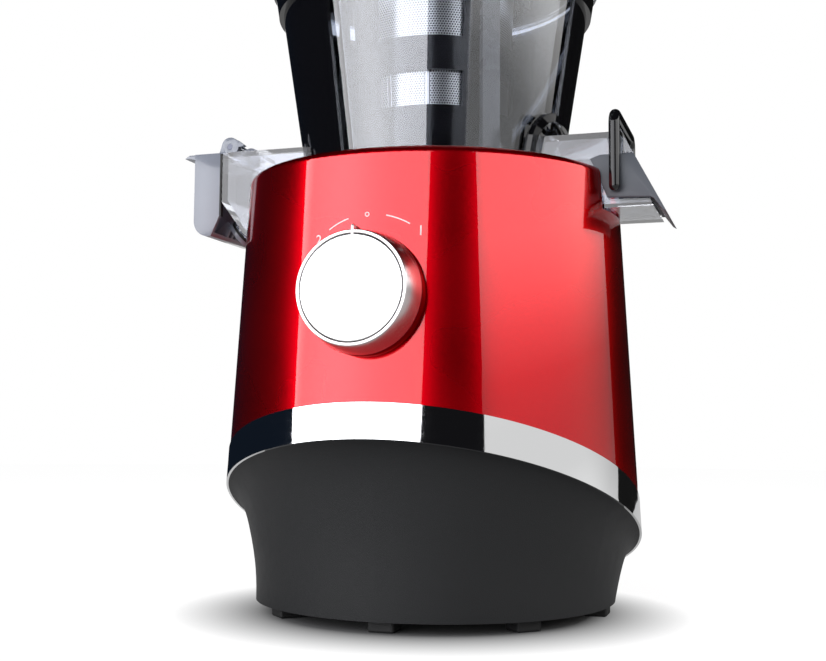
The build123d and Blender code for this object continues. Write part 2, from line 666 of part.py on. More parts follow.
bearing_1 = MOTOR_Z + CAN_T
bearing_2 = motor_top - CAN_T - BEARING_W
keep("motor_bearings", *[tube(BEARING_R, SHAFT_R + RUN, z, z + BEARING_W) for z in (bearing_1, bearing_2)])
keep("motor_rotor", tube(STATOR_R - AIR_GAP, SHAFT_R, stator_low + 2, stator_top - 2))
shaft = rod(SHAFT_R, FAN_Z, carrier_1_z + CARRIER_T / 2) + gear(SUN_TEETH, MODULE, stage_1, stage_1 + GEAR_W)
keep("motor_shaft", shaft)
fan = tube(FAN_HUB_R, SHAFT_R, FAN_Z, FAN_Z + FAN_H)
blade_mid = (FAN_HUB_R + FAN_R) / 2
blade = Box(FAN_R - FAN_HUB_R + 2, FAN_H + 2, FAN_BLADE_T)
blade = Pos(blade_mid, 0, FAN_Z + FAN_H / 2) * Rot(X=FAN_PITCH) * blade
blade &= tube(FAN_R, FAN_HUB_R - 1, FAN_Z, FAN_Z + FAN_H)
for piece in polar(blade, FAN_BLADES):
    fan += piece
keep("cooling_fan", fan)

# ================================================================ gearbox
case = tube(MOTOR_R, seat_r + SEAT, motor_top + SEAT, motor_top + FLANGE_T)
case += tube(CASE_NECK_R, CASE_NECK_R - CASE_WALL, motor_top + SEAT, CASE_LOW_Z + 1)
case += tube(case_out, SHAFT_R + WALL, CASE_LOW_Z, CASE_LOW_Z + FLANGE_T)
case += tube(case_out, case_in, CASE_LOW_Z, case_top)
keep("gearbox_case", case)
keep("ring_gear", ring_gear(RING_TEETH, MODULE, CASE_LOW_Z + FLANGE_T + SEAT, case_top - SEAT, case_in - SEAT))
cover_low = case_top + SEAT
cover = tube(COVER_R, OUTPUT_R + FIT, cover_low, cover_top)
cover += tube(OUTPUT_BEARING_R + CASE_WALL, OUTPUT_BEARING_R, cover_top - 1, cover_top + COVER_BOSS_H)
cover += tube(case_out + CASE_WALL + SEAT, case_out + SEAT, cover_low - CASE_WALL, cover_low + 1)
for piece in polar(rod(SCREW_R + SEAT, cover_low - 1, cover_top + 1, x=POST_PITCH_R), POST_COUNT, 45):
    cover -= piece
keep("gearbox_cover", cover)
keep("output_bearing", tube(OUTPUT_BEARING_R, OUTPUT_R + RUN, cover_top + SEAT, cover_top + COVER_BOSS_H - 1))
case_screw = rod(SCREW_R, cover_low - 1, post_low + SCREW_BITE, x=POST_PITCH_R)
case_screw += rod(SCREW_HEAD_R, cover_low - SEAT - SCREW_HEAD_H, cover_low - SEAT, x=POST_PITCH_R)
keep("gearbox_screws", *polar(case_screw, POST_COUNT, 45))

planet_r = MODULE * (SUN_TEETH + PLANET_TEETH) / 2
carrier_r = planet_r + PLANET_PIN_R + 3.5


def carrier(gear_low, plate_low):
    """Carrier plate above its planets, with the pins they turn on."""
    plate = rod(carrier_r, plate_low, plate_low + CARRIER_T)
    for pin in polar(rod(PLANET_PIN_R, gear_low, plate_low + 1, x=planet_r), PLANETS):
        plate += pin
    return plate


carrier_1 = carrier(stage_1, carrier_1_z) - rod(SHAFT_R + RUN, carrier_1_z - 1, carrier_1_z + CARRIER_T * 0.7)
carrier_1 += gear(SUN_TEETH, MODULE, carrier_1_z + CARRIER_T * 0.9, carrier_2_z - STAGE_GAP)
keep("planet_carrier", carrier_1)
drive = carrier(stage_2, carrier_2_z) + rod(OUTPUT_R, carrier_2_z, HEX_Z)
drive += hexagon(HEX_AF, HEX_Z - 1, DRIVE_TOP_Z)
keep("drive_shaft", drive)
for stage, low in (("low", stage_1), ("high", stage_2)):
    planet = Rot(Z=180 / PLANET_TEETH) * gear(PLANET_TEETH, MODULE, low, low + GEAR_W)
    planet = Pos(planet_r, 0, 0) * (planet - rod(PLANET_PIN_R + RUN, low - 1, low + GEAR_W + 1))
    for letter, piece in zip("abc", polar(planet, PLANETS)):
        keep(f"planet_{stage}_{letter}", piece)

# ================================================================ knob, switch and board
knob = lathe(
    [(0, KNOB_GAP), (KNOB_SKIRT_R, KNOB_GAP), (KNOB_FACE_R, KNOB_H), (0, KNOB_H)],
    [(2, 0.8)])
knob -= lathe(
    [(0, 0), (KNOB_SKIRT_R - KNOB_WALL, 0), (KNOB_FACE_R - KNOB_WALL, KNOB_H - DIAL_T - KNOB_WALL),
     (0, KNOB_H - DIAL_T - KNOB_WALL)])
knob += rod(KNOB_HUB_R, KNOB_GAP, KNOB_H - DIAL_T - 1)
knob -= rod(KNOB_FACE_R - DIAL_RIM, KNOB_H - DIAL_T, KNOB_H + 1)
knob -= rod(KNOB_SHAFT_R, 0, KNOB_H - DIAL_T - KNOB_WALL)
knob += block(
    -POINTER_W / 2, POINTER_W / 2, KNOB_FACE_R - 1, KNOB_FACE_R + POINTER_OUT, KNOB_H / 2, KNOB_H - SEAT)
keep("knob_body", knob_frame * knob)
keep("knob_face", knob_frame * rod(KNOB_FACE_R - DIAL_RIM - SEAT, KNOB_H - DIAL_T, KNOB_H - 0.2))


def sag(radius):
    """How far the curved wall falls back over a flat disc of this radius behind the knob."""
    inside = body_r(KNOB_Z) - BODY_WALL
    return inside - sqrt(inside ** 2 - radius ** 2)


switch_top = -(BODY_WALL + sag(SWITCH_R) + 3 * SEAT)
bushing_top = -(BODY_WALL + sag(BUSHING_R) + 3 * SEAT)
switch_low = switch_top - SWITCH_D
keep("knob_shaft", knob_frame * rod(KNOB_SHAFT_R, switch_low + 3, KNOB_H - DIAL_T - KNOB_WALL))
switch = rod(SWITCH_R, switch_low, switch_top) + rod(BUSHING_R, switch_top - 1, bushing_top)
switch -= rod(KNOB_SHAFT_R + RUN, switch_low + 3 - FIT, 0)
keep("dial_switch", knob_frame * switch)

board_low = plate_top + WALL
board = block(
    -BOARD_W / 2, BOARD_W / 2, BOARD_Y + SEAT, BOARD_Y + BOARD_T - SEAT, board_low, board_low + BOARD_H)
relay_z = board_low + BOARD_H * 0.55
board_middle = BOARD_Y + BOARD_T / 2
for x, wide, tall, deep in RELAYS:
    board += block(
        x - wide / 2, x + wide / 2, BOARD_Y - deep, board_middle, relay_z - tall / 2, relay_z + tall / 2)
keep("control_board", board)

# ================================================================ bowl and its two spouts
bowl_low = RECESS_Z + FIT


def bowl_form(outset):
    return lathe(
        [(0, bowl_low), (BOWL_SKIRT_R + outset, bowl_low), (BOWL_SKIRT_R + outset, SKIRT_TOP_Z),
         (bowl_r(SHOULDER_Z) + outset, SHOULDER_Z), (bowl_r(BOWL_TOP_Z) + outset, BOWL_TOP_Z), (0, BOWL_TOP_Z)])


bowl_outer = bowl_form(0.0)
bowl_clear = bowl_form(SEAT)
under_floor = BOWL_FLOOR_Z - BOWL_FLOOR_T
bowl_under = lathe(
    [(0, bowl_low - 1), (BOWL_SKIRT_R - BOWL_WALL, bowl_low - 1),
     (BOWL_SKIRT_R - BOWL_WALL, SKIRT_TOP_Z - BOWL_WALL), (bowl_r(SHOULDER_Z) - BOWL_WALL, under_floor),
     (0, under_floor)])
bowl_cavity = cone(bowl_r, BOWL_FLOOR_Z, BOWL_TOP_Z + 1, BOWL_WALL)

juice_outline = [
    (-BOWL_SKIRT_R / 2, JUICE_TOP_Z), (-BOWL_SKIRT_R / 2, JUICE_LOW_Z),
    (-JUICE_END_X + JUICE_CUT_X, JUICE_LOW_Z), (-JUICE_END_X, JUICE_LOW_Z + JUICE_CUT_Z),
    (-JUICE_END_X, JUICE_TOP_Z)]
juice_duct = plate_xz(juice_outline, -SPOUT_HALF, SPOUT_HALF, [(4, 1.5)])
cut_slope = atan2(JUICE_CUT_X, JUICE_CUT_Z)
shift = SPOUT_T * (1 / cos(cut_slope) - tan(cut_slope))
rise = SPOUT_T * (1 / sin(cut_slope) - 1 / tan(cut_slope))
inside_x = SPOUT_HALF - SPOUT_T
juice_void = plate_xz(
    [(-BOWL_SKIRT_R / 2, JUICE_TOP_Z - SPOUT_T), (-BOWL_SKIRT_R / 2, JUICE_LOW_Z + SPOUT_T),
     (-JUICE_END_X + JUICE_CUT_X + rise, JUICE_LOW_Z + SPOUT_T),
     (-JUICE_END_X + SPOUT_T, JUICE_LOW_Z + JUICE_CUT_Z + shift),
     (-JUICE_END_X + SPOUT_T, JUICE_TOP_Z - SPOUT_T)],
    -inside_x, inside_x)
# the nozzle's own frame: origin in the middle of the cut corner, +Z outwards along the nozzle
nozzle_down = degrees(cut_slope)
nozzle_root = (-JUICE_END_X + JUICE_CUT_X / 2, 0, JUICE_LOW_Z + JUICE_CUT_Z / 2)
nozzle_frame = Pos(*nozzle_root) * Rot(Y=-90 - nozzle_down)
nozzle = nozzle_frame * rod(NOZZLE_R, -SPOUT_T, NOZZLE_LEN)
nozzle_bore = nozzle_frame * rod(NOZZLE_R - NOZZLE_WALL, -2 * SPOUT_T, NOZZLE_LEN + 1)
pin_x = -(JUICE_END_X + CAP_GAP)
pin_z = JUICE_TOP_Z + HINGE_UP
scoop_r = hypot(BEAK, 2.0) + 0.6
ear_inner = EAR_Y - EAR_T / 2 - FIT
ear_outer = EAR_Y + EAR_T / 2 + FIT
duct_block = plate_xz(juice_outline, -SPOUT_HALF, SPOUT_HALF)
trough = (rod_y(scoop_r + SPOUT_T, ear_inner - SPOUT_T, ear_outer + SPOUT_T, pin_x, pin_z)) & duct_block
scoop = rod_y(scoop_r, ear_inner, ear_outer, pin_x, pin_z)
lug = rod_y(HINGE_LUG_R, -ear_inner + FIT, ear_inner - FIT, pin_x, pin_z)
lug += plate_xz(
    [(pin_x - HINGE_LUG_R * 0.3, pin_z - HINGE_LUG_R * 0.9), (-JUICE_END_X, JUICE_TOP_Z - 1),
     (-JUICE_END_X + BEAK, JUICE_TOP_Z - 1), (pin_x + HINGE_LUG_R, pin_z)],
    -ear_inner + FIT, ear_inner - FIT)
lug -= rod_y(PIN_R, -FAR, FAR, pin_x, pin_z)
bump_out = -JUICE_END_X + BUMP_IN
bump_in = bump_out + BUMP_L
bump = plate_xz(
    [(bump_out, JUICE_TOP_Z - 1), (bump_in, JUICE_TOP_Z - 1),
     (bump_in - 0.2 * BUMP_L, JUICE_TOP_Z + 0.6 * BUMP_H), (bump_out + 0.35 * BUMP_L, JUICE_TOP_Z + BUMP_H),
     (bump_out, JUICE_TOP_Z + 0.7 * BUMP_H)],
    -ear_inner + 2, ear_inner - 2, [(3, 1.5)])

mouth = radians(MOUTH_TILT)


def mouth_x(z, back=0.0):
    """X of the slanted mouth plane at a height, moved back by a distance across the plane."""
    return PULP_MOUTH_X + (PULP_TOP_Z - z) * tan(mouth) - back / cos(mouth)


gate_back = GATE_T + GATE_SEAL_T + FIT
pulp_outline = [
    (BOWL_SKIRT_R / 2, PULP_TOP_Z), (mouth_x(PULP_TOP_Z), PULP_TOP_Z),
    (mouth_x(MOUTH_STEP_Z), MOUTH_STEP_Z), (mouth_x(MOUTH_STEP_Z, gate_back), MOUTH_STEP_Z),
    (mouth_x(PULP_LOW_Z, gate_back), PULP_LOW_Z), (BOWL_SKIRT_R / 2, PULP_LOW_Z)]
pulp_duct = plate_xz(pulp_outline, -SPOUT_HALF, SPOUT_HALF)
pulp_void = block(
    BOWL_SKIRT_R / 2, FAR, -inside_x, inside_x, PULP_LOW_Z + SPOUT_T, PULP_TOP_Z - SPOUT_T)
tunnel = block(
    TUNNEL_X - BOWL_WALL, BOWL_SKIRT_R, -TUNNEL_HALF - BOWL_WALL, TUNNEL_HALF + BOWL_WALL,
    TUNNEL_LOW_Z - BOWL_WALL, under_floor + 1)
tunnel_void = block(TUNNEL_X, BOWL_SKIRT_R + 1, -TUNNEL_HALF, TUNNEL_HALF, TUNNEL_LOW_Z, under_floor)
sleeve_out = SLEEVE_X + SLEEVE_L


def sleeve_hole(low, high):
    return block(
        SLEEVE_X + SLEEVE_T, sleeve_out - SLEEVE_T, -SLEEVE_HALF + SLEEVE_T, SLEEVE_HALF - SLEEVE_T, low, high)


floor_hole = sleeve_hole(under_floor - 1, BOWL_FLOOR_Z + 1)
juice_port = block(
    -BOWL_SKIRT_R, -BOWL_SKIRT_R / 2, -PORT_HALF, PORT_HALF, BOWL_FLOOR_Z, JUICE_TOP_Z - SPOUT_T)

gear_low = BOWL_FLOOR_Z + TRAIN_GAP
gear_top = gear_low + TRAIN_W
track_in = WIPER_R + WIPER_T + RUN
track = tube(track_in + TRACK_T, track_in, BOWL_FLOOR_Z - 1, BOWL_FLOOR_Z + TRACK_H)
idler_r = TRAIN_MODULE * (TRAIN_SUN_TEETH + TRAIN_IDLER_TEETH) / 2

bowl = bowl_outer - bowl_under
bowl += tunnel & bowl_outer
bowl -= bowl_cavity
ledge_top = RIM_FLANGE_Z - RIM_FLANGE_T - SEAT
bowl += track + sleeve(bowl_r, ledge_top - LEDGE_T, ledge_top, BOWL_WALL - 1, BOWL_WALL + LEDGE_W)
bowl -= juice_port
bowl -= tunnel_void
bowl -= floor_hole
bowl -= rod(BOWL_SEAL_R, under_floor - 1, BOWL_FLOOR_Z + 1)
for side in (-1, 1):
    bowl += rod(IDLER_PIN_R, BOWL_FLOOR_Z - 1, gear_top, y=side * idler_r)
keep("bowl", bowl)

juice_spout = (juice_duct - juice_void) - bowl_clear
juice_spout += nozzle
juice_spout -= nozzle_bore
for piece in both_sides(trough):
    juice_spout += piece
for piece in both_sides(scoop):
    juice_spout -= piece
keep("juice_spout", juice_spout + (lug + bump))

pulp_spout = (pulp_duct - pulp_void) - bowl_clear
stub = rod_y(STUB_R, SPOUT_HALF - 1, SPOUT_HALF + FIT + GATE_T, HINGE_X, HINGE_Z)
for piece in both_sides(stub):
    pulp_spout += piece
keep("pulp_spout", pulp_spout)
keep("juice_hinge_pin", rod_y(PIN_R, -ear_outer + FIT, ear_outer - FIT, pin_x, pin_z))
keep("bowl_seal", tube(BOWL_SEAL_R, HUB_R + RUN, under_floor, BOWL_FLOOR_Z))

# ================================================================ black shroud around the bowl
shroud = sleeve(shroud_r, SHROUD_LOW_Z, SHROUD_TOP_Z, 0.0, SHROUD_T)
shroud += sleeve(shroud_r, COLLAR_Z, SHROUD_TOP_Z, -COLLAR_T, 1.0)
window = sector(WINDOW_FROM, WINDOW_TO, LID_R, SHROUD_LOW_Z - 1, SHROUD_TOP_Z + 1)


def arch(half, top):
    outline = Pos(0, (top + SHROUD_LOW_Z) / 2 - FAR / 2) * Rectangle(2 * half, top - SHROUD_LOW_Z + FAR)
    face = fillet(outline.vertices().group_by(Axis.Y)[-1], ARCH_ROUND)
    return extrude(Plane((0, 0, 0), (0, 1, 0), (1, 0, 0)) * face, LID_R)


outer_arch = arch(ARCH_HALF, ARCH_Z)
inner_arch = arch(ARCH_HALF - ARCH_BAND, ARCH_Z - ARCH_BAND)
arch_band = sleeve(shroud_r, SHROUD_LOW_Z, ARCH_Z, 0.0, SHROUD_T) & (outer_arch - inner_arch)
shroud = shroud - window - outer_arch + arch_band
shroud -= block(0, FAR, -SPOUT_HALF - SEAT, SPOUT_HALF + SEAT, 0, PULP_TOP_Z + SEAT)
shroud -= block(-FAR, 0, -SPOUT_HALF - SEAT, SPOUT_HALF + SEAT, 0, JUICE_TOP_Z + SEAT)
keep("bowl_shroud", shroud)

# ================================================================ cap of the juice spout
cap_in = -(JUICE_END_X + CAP_GAP + CAP_SEAL_T)
cap_out = cap_in - CAP_DEPTH
cap_top = JUICE_TOP_Z
cap_outline = [
    (cap_in, cap_top), (cap_out, cap_top), (cap_out, CAP_LOW_Z), (cap_in - CAP_CHIN_X, CAP_LOW_Z),
    (cap_in, CAP_SIDE_Z)]
cap = plate_xz(cap_outline, -SPOUT_HALF, SPOUT_HALF, [(2, CAP_ROUND)])
cap -= plate_xz(
    [(cap_in + 1, cap_top - CAP_T), (cap_out + CAP_T, cap_top - CAP_T), (cap_out + CAP_T, CAP_LOW_Z + CAP_T),
     (cap_in + 1, CAP_LOW_Z + CAP_T)],
    -SPOUT_HALF + CAP_T, SPOUT_HALF - CAP_T, [(2, CAP_ROUND - CAP_T)])
lip = plate_xz(
    [(cap_out + 1, cap_top), (cap_out - CAP_LIP * 0.6, cap_top), (cap_out - CAP_LIP, cap_top - 1.6),
     (cap_out - CAP_LIP * 0.5, cap_top - CAP_LIP_T), (cap_out + 1, cap_top - CAP_LIP_T - 1)],
    -SPOUT_HALF + 1, SPOUT_HALF - 1)
cap += lip
plug_low = NOZZLE_LEN + 2 * FIT + CAP_SEAL_T
plug = nozzle_frame * rod(NOZZLE_R, plug_low, plug_low + PLUG_T)
cap_form = plate_xz(cap_outline, -SPOUT_HALF, SPOUT_HALF, [(2, CAP_ROUND)])
web_low = plug_low + PLUG_T / 2
web_high = plug_low + 3 * CAP_DEPTH
for y in (-NOZZLE_R * 0.6, 0.0, NOZZLE_R * 0.6):
    web = nozzle_frame * block(
        -NOZZLE_R, NOZZLE_R, y - PLUG_WEB_T / 2, y + PLUG_WEB_T / 2, web_low, web_high)
    plug += web & cap_form
cap += plug
ear = rod_y(EAR_R, EAR_Y - EAR_T / 2, EAR_Y + EAR_T / 2, pin_x, pin_z)
ear += plate_xz(
    [(pin_x - EAR_FOOT, cap_top - 1), (pin_x - EAR_R * 0.85, pin_z + EAR_R * 0.5), (pin_x, pin_z),
     (cap_in - 0.5, pin_z - EAR_R * 0.9), (cap_in - 0.5, cap_top - 1)],
    EAR_Y - EAR_T / 2, EAR_Y + EAR_T / 2)
ear += plate_xz(
    [(pin_x, pin_z), (pin_x, pin_z + EAR_R), (pin_x + BEAK * 0.6, pin_z + EAR_R * 0.6),
     (pin_x + BEAK, pin_z + 0.4), (pin_x + BEAK * 0.8, pin_z - 0.4)],
    EAR_Y - EAR_T / 2, EAR_Y + EAR_T / 2)
ear -= rod_y(PIN_R + RUN, 0, FAR, pin_x, pin_z)
for piece in both_sides(ear):
    cap += piece
keep("juice_cap", cap)
seal_ring = block(cap_in, cap_in + CAP_SEAL_T, -SPOUT_HALF, SPOUT_HALF, CAP_SIDE_Z, cap_top - 0.5)
seal_ring -= block(cap_in - 1, cap_in + 2, -SPOUT_HALF + CAP_T, SPOUT_HALF - CAP_T, 0, cap_top - CAP_T)
plug_seal = nozzle_frame * rod(NOZZLE_R - 0.4, NOZZLE_LEN + 2 * FIT, plug_low)
keep("juice_cap_seal", seal_ring, plug_seal)

# ================================================================ gate of the pulp spout and its bail
gate_y = SPOUT_HALF + FIT
gate_side = [(PULP_MOUTH_X + x, PULP_TOP_Z + z) for x, z in GATE_UPPER]
gate_step_z = gate_side[-1][1]
gate_side += [(mouth_x(gate_step_z), gate_step_z)]
gate_low_z = PULP_LOW_Z + GATE_LOWER[0][1] - GATE_T
gate_side += [(mouth_x(gate_low_z), gate_low_z)]
gate_side += [(PULP_MOUTH_X + x, PULP_LOW_Z + z) for x, z in GATE_LOWER]
cheek = plate_xz(gate_side, gate_y, gate_y + GATE_T, [(3, 1.0), (4, 1.0)])
cheek += rod_y(HINGE_EYE_R, gate_y, gate_y + GATE_T, HINGE_X, HINGE_Z)
cheek -= rod_y(STUB_R + RUN, 0, FAR, HINGE_X, HINGE_Z)
cheek -= rod_y(BAIL_PIN_R + RUN, 0, FAR, BAIL_X, BAIL_Z)
gate_top_z = gate_step_z
front = plate_xz(
    [(mouth_x(gate_top_z), gate_top_z), (mouth_x(GATE_TIP_Z), GATE_TIP_Z),
     (mouth_x(GATE_TIP_Z + 1, GATE_T * 0.5), GATE_TIP_Z + 1),
     (mouth_x(GATE_TIP_Z + 6, GATE_T), GATE_TIP_Z + 6), (mouth_x(gate_top_z - 0.9, GATE_T), gate_top_z - 0.9)],
    -gate_y - GATE_T, gate_y + GATE_T)
gate = front
for piece in both_sides(cheek):
    gate += piece
keep("pulp_gate", gate)
seal_high = gate_top_z - 2
seal_low = PULP_LOW_Z + SPOUT_T
keep("pulp_gate_seal", plate_xz(
    [(mouth_x(seal_high, GATE_T), seal_high), (mouth_x(seal_low, GATE_T), seal_low),
     (mouth_x(seal_low, GATE_T + GATE_SEAL_T), seal_low),
     (mouth_x(seal_high, GATE_T + GATE_SEAL_T), seal_high)],
    -SPOUT_HALF + 1, SPOUT_HALF - 1))

bail_y = gate_y + GATE_T + FIT + BAIL_R
bail_high = BAIL_TOP_Z - BAIL_R
path = FilletPolyline(
    (BAIL_X, -bail_y, BAIL_Z), (BAIL_X, -bail_y, bail_high), (BAIL_X, bail_y, bail_high),
    (BAIL_X, bail_y, BAIL_Z), radius=BAIL_BEND_R)
bail = sweep(Plane((BAIL_X, -bail_y, BAIL_Z), z_dir=(0, 0, 1)) * Circle(BAIL_R), path=path)
for piece in both_sides(Pos(BAIL_X, bail_y, BAIL_Z) * Sphere(BAIL_R)):
    bail += piece
for piece in both_sides(rod_y(BAIL_PIN_R, gate_y + 0.3, bail_y, BAIL_X, BAIL_Z)):
    bail += piece
keep("bail", bail)

# ================================================================ strainer
flange_low = RIM_FLANGE_Z - RIM_FLANGE_T
frame = sleeve(strainer_r, STRAINER_LOW_Z, flange_low + 1, 0.0, STRAINER_T)
frame += rod(strainer_r(STRAINER_LOW_Z), STRAINER_LOW_Z, STRAINER_LOW_Z + STRAINER_FLOOR)
flange_out = bowl_r(flange_low) - BOWL_WALL - FIT
frame += tube(flange_out, strainer_r(flange_low) - STRAINER_T, flange_low, RIM_FLANGE_Z)
frame -= rod(NECK_R + FIT, 0, STRAINER_LOW_Z + STRAINER_FLOOR + 1)
frame += block(SLEEVE_X, sleeve_out, -SLEEVE_HALF, SLEEVE_HALF, BOWL_FLOOR_Z + SEAT, STRAINER_LOW_Z + 1)
frame -= sleeve_hole(0, STRAINER_LOW_Z + STRAINER_FLOOR + 1)
for low, high in MESH_BANDS:
    for i in range(WINDOW_COUNT):
        start = WINDOW_START + 360 / WINDOW_COUNT * i - WINDOW_ARC / 2
        opening = sector(start, start + WINDOW_ARC, 1.5 * STRAINER_R, low, high)
        frame -= opening - rod(STRAINER_R / 2, low - 1, high + 1)
keep("strainer_frame", frame)
mesh_out = STRAINER_T + SEAT
keep("strainer_mesh", *[
    sleeve(strainer_r, low - MESH_LAP, high + MESH_LAP, mesh_out, mesh_out + MESH_T)
    for low, high in MESH_BANDS])

# ================================================================ gears under the strainer and the wiper
idler = Rot(Z=180 / TRAIN_IDLER_TEETH) * gear(TRAIN_IDLER_TEETH, TRAIN_MODULE, gear_low, gear_top)
idler = Pos(idler_r, 0, 0) * (idler - rod(IDLER_PIN_R + RUN, gear_low - 1, gear_top + 1))
keep("idler_front", Rot(Z=-90) * idler)
keep("idler_back", Rot(Z=90) * idler)
wiper_ring_r = TRAIN_MODULE * TRAIN_RING_TEETH / 2 + TRAIN_RIM
wiper = ring_gear(TRAIN_RING_TEETH, TRAIN_MODULE, gear_low, gear_top, wiper_ring_r)
wiper_out = WIPER_R + WIPER_T
wiper += tube(wiper_out, wiper_ring_r - 1, gear_low, gear_low + WIPER_WEB)
wiper += tube(wiper_out, WIPER_R, WIPER_TOP_Z - WIPER_HOOP, WIPER_TOP_Z)
cage = tube(wiper_out, WIPER_R, gear_low, WIPER_TOP_Z)
blades = []
blade_low = STRAINER_LOW_Z + BLADE_UP
blade_top = WIPER_TOP_Z - WIPER_HOOP - BLADE_DOWN
blade_out = WIPER_R - SEAT / 2
blade_form = lathe(
    [(strainer_r(blade_low) + BLADE_GAP, blade_low), (blade_out, blade_low), (blade_out, blade_top),
     (strainer_r(blade_top) + BLADE_GAP, blade_top)])
for i in range(WIPER_ARMS):
    middle_angle = WIPER_START + 360 / WIPER_ARMS * i
    arm = sector(middle_angle - ARM_ARC / 2, middle_angle + ARM_ARC / 2, LID_R, gear_low, WIPER_TOP_Z)
    wiper += cage & (arm - rod(WIPER_R / 2, 0, FAR))
    wedge = sector(middle_angle - BLADE_ARC / 2, middle_angle + BLADE_ARC / 2, LID_R, blade_low, blade_top)
    blades.append(blade_form & (wedge - rod(WIPER_R / 2, 0, FAR)))
keep("wiper_frame", wiper)
keep("wiper_blades", *blades)

# ================================================================ auger
core_low = STRAINER_LOW_Z + STRAINER_FLOOR + FIT
flight_reach = STRAINER_T + SEAT + MESH_T + FLIGHT_GAP
flight_low = core_low + FLIGHT_UP
pin_top = BRIDGE_Z + BRIDGE_H - BRIDGE_ROOF
flight_rise = FLIGHT_PITCH * FLIGHT_TURNS
core = lathe(
    [(0, under_floor), (HUB_R, under_floor), (HUB_R, gear_top), (NECK_R, gear_top), (NECK_R, core_low),
     (AUGER_R, core_low), (AUGER_TOP_R, AUGER_TOP_Z), (AUGER_PIN_R, AUGER_TOP_Z), (AUGER_PIN_R, pin_top),
     (0, pin_top)])
core += gear(TRAIN_SUN_TEETH, TRAIN_MODULE, gear_low, gear_top)
spiral_r = (AUGER_R + STRAINER_R) / 2
spiral = Helix(FLIGHT_PITCH, flight_rise, spiral_r)
section_length = 1.3 * (STRAINER_R - AUGER_TOP_R)
section = Plane((spiral_r, 0, 0), x_dir=(1, 0, 0), z_dir=(0, 1, 0)) * Rectangle(section_length, FLIGHT_T)
flight = Pos(0, 0, flight_low + FLIGHT_T) * sweep(section, path=spiral, is_frenet=True)
envelope = cone(strainer_r, core_low, AUGER_TOP_Z - 2, flight_reach)
for piece in polar(flight, FLIGHT_STARTS, FLIGHT_START):
    core += piece & envelope
core -= rod(COUPLING_R, under_floor - 1, SOCKET_TOP_Z)
keep("auger", core)
coupling = rod(COUPLING_R - SEAT / 2, under_floor, SOCKET_TOP_Z - SEAT / 2)
coupling -= hexagon(HEX_AF + 2 * FIT, under_floor - 1, DRIVE_TOP_Z + FIT)
keep("auger_coupling", coupling)

# ================================================================ lid, chute and pusher
lid_under = BOWL_TOP_Z + FIT
lid = lathe(
    [(0, LID_LOW_Z), (LID_R, LID_LOW_Z), (LID_R, LID_EDGE_Z), (DOME_R, DOME_Z), (0, DOME_Z)],
    [(2, 3.0), (3, 6.0)])
lid -= lathe(
    [(0, LID_LOW_Z - 1), (LID_R - LID_T, LID_LOW_Z - 1), (LID_R - LID_T, lid_under),
     (bowl_r(BOWL_TOP_Z) - 2 * LID_T, lid_under), (DOME_R - LID_T, DOME_Z - LID_T), (0, DOME_Z - LID_T)])
chute_out = CHUTE_R + CHUTE_T
chute = rod(chute_out, CHUTE_LOW_Z, CHUTE_TOP_Z)
chute += lathe(
    [(0, CHUTE_TOP_Z - MOUTH_H), (chute_out, CHUTE_TOP_Z - MOUTH_H), (MOUTH_R, CHUTE_TOP_Z), (0, CHUTE_TOP_Z)])
chute_void = rod(CHUTE_R, 0, CHUTE_TOP_Z + 1)
chute_void += lathe(
    [(0, CHUTE_TOP_Z - MOUTH_H), (CHUTE_R, CHUTE_TOP_Z - MOUTH_H), (MOUTH_R - CHUTE_T, CHUTE_TOP_Z),
     (MOUTH_R - CHUTE_T, CHUTE_TOP_Z + 1), (0, CHUTE_TOP_Z + 1)])
lid += Pos(0, CHUTE_Y, 0) * chute
lid -= Pos(0, CHUTE_Y, 0) * chute_void
bridge = block(-CHUTE_R - 0.5, CHUTE_R + 0.5, -BRIDGE_W / 2, BRIDGE_W / 2, BRIDGE_Z, BRIDGE_Z + BRIDGE_H)
bridge += rod(BRIDGE_BOSS_R, BRIDGE_Z - BRIDGE_BOSS_DOWN, BRIDGE_Z + BRIDGE_H)
bridge -= rod(AUGER_PIN_R + RUN, 0, pin_top + FIT)
keep("lid", lid + bridge)

pusher_r = CHUTE_R - PUSHER_GAP
pusher_top = CHUTE_TOP_Z + FIT
pusher = lathe(
    [(0, PUSHER_LOW_Z), (pusher_r, PUSHER_LOW_Z), (pusher_r, pusher_top), (PUSHER_FLANGE_R, pusher_top),
     (PUSHER_FLANGE_R, pusher_top + PUSHER_T), (pusher_r - PUSHER_T, pusher_top + PUSHER_T),
     (pusher_r - PUSHER_T, PUSHER_LOW_Z + PUSHER_T), (0, PUSHER_LOW_Z + PUSHER_T)], [(1, 2.0), (4, 0.8)])
keep("pusher", Pos(0, CHUTE_Y, 0) * pusher)
cap_low = pusher_top + PUSHER_T + SEAT
cap_high = cap_low + PUSHER_CAP_H
pusher_cap = lathe(
    [(0, cap_high - PUSHER_T), (PUSHER_CAP_R - PUSHER_T, cap_high - PUSHER_T),
     (PUSHER_CAP_R - PUSHER_T, cap_low), (PUSHER_CAP_R, cap_low), (PUSHER_CAP_R, cap_high), (0, cap_high)],
    [(4, PUSHER_ROUND)])
keep("pusher_cap", Pos(0, CHUTE_Y, 0) * pusher_cap)

for name, shape in nodes.items():
    export_step(shape, f"parts/{name}.step")
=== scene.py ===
"""Studio scene of the vertical slow juicer. Metres, +Z up, origin on the drive axis at table height."""
import json
from math import atan, cos, exp, pi, radians, sin, sqrt

import bmesh
import bpy
from mathutils import Matrix, Vector

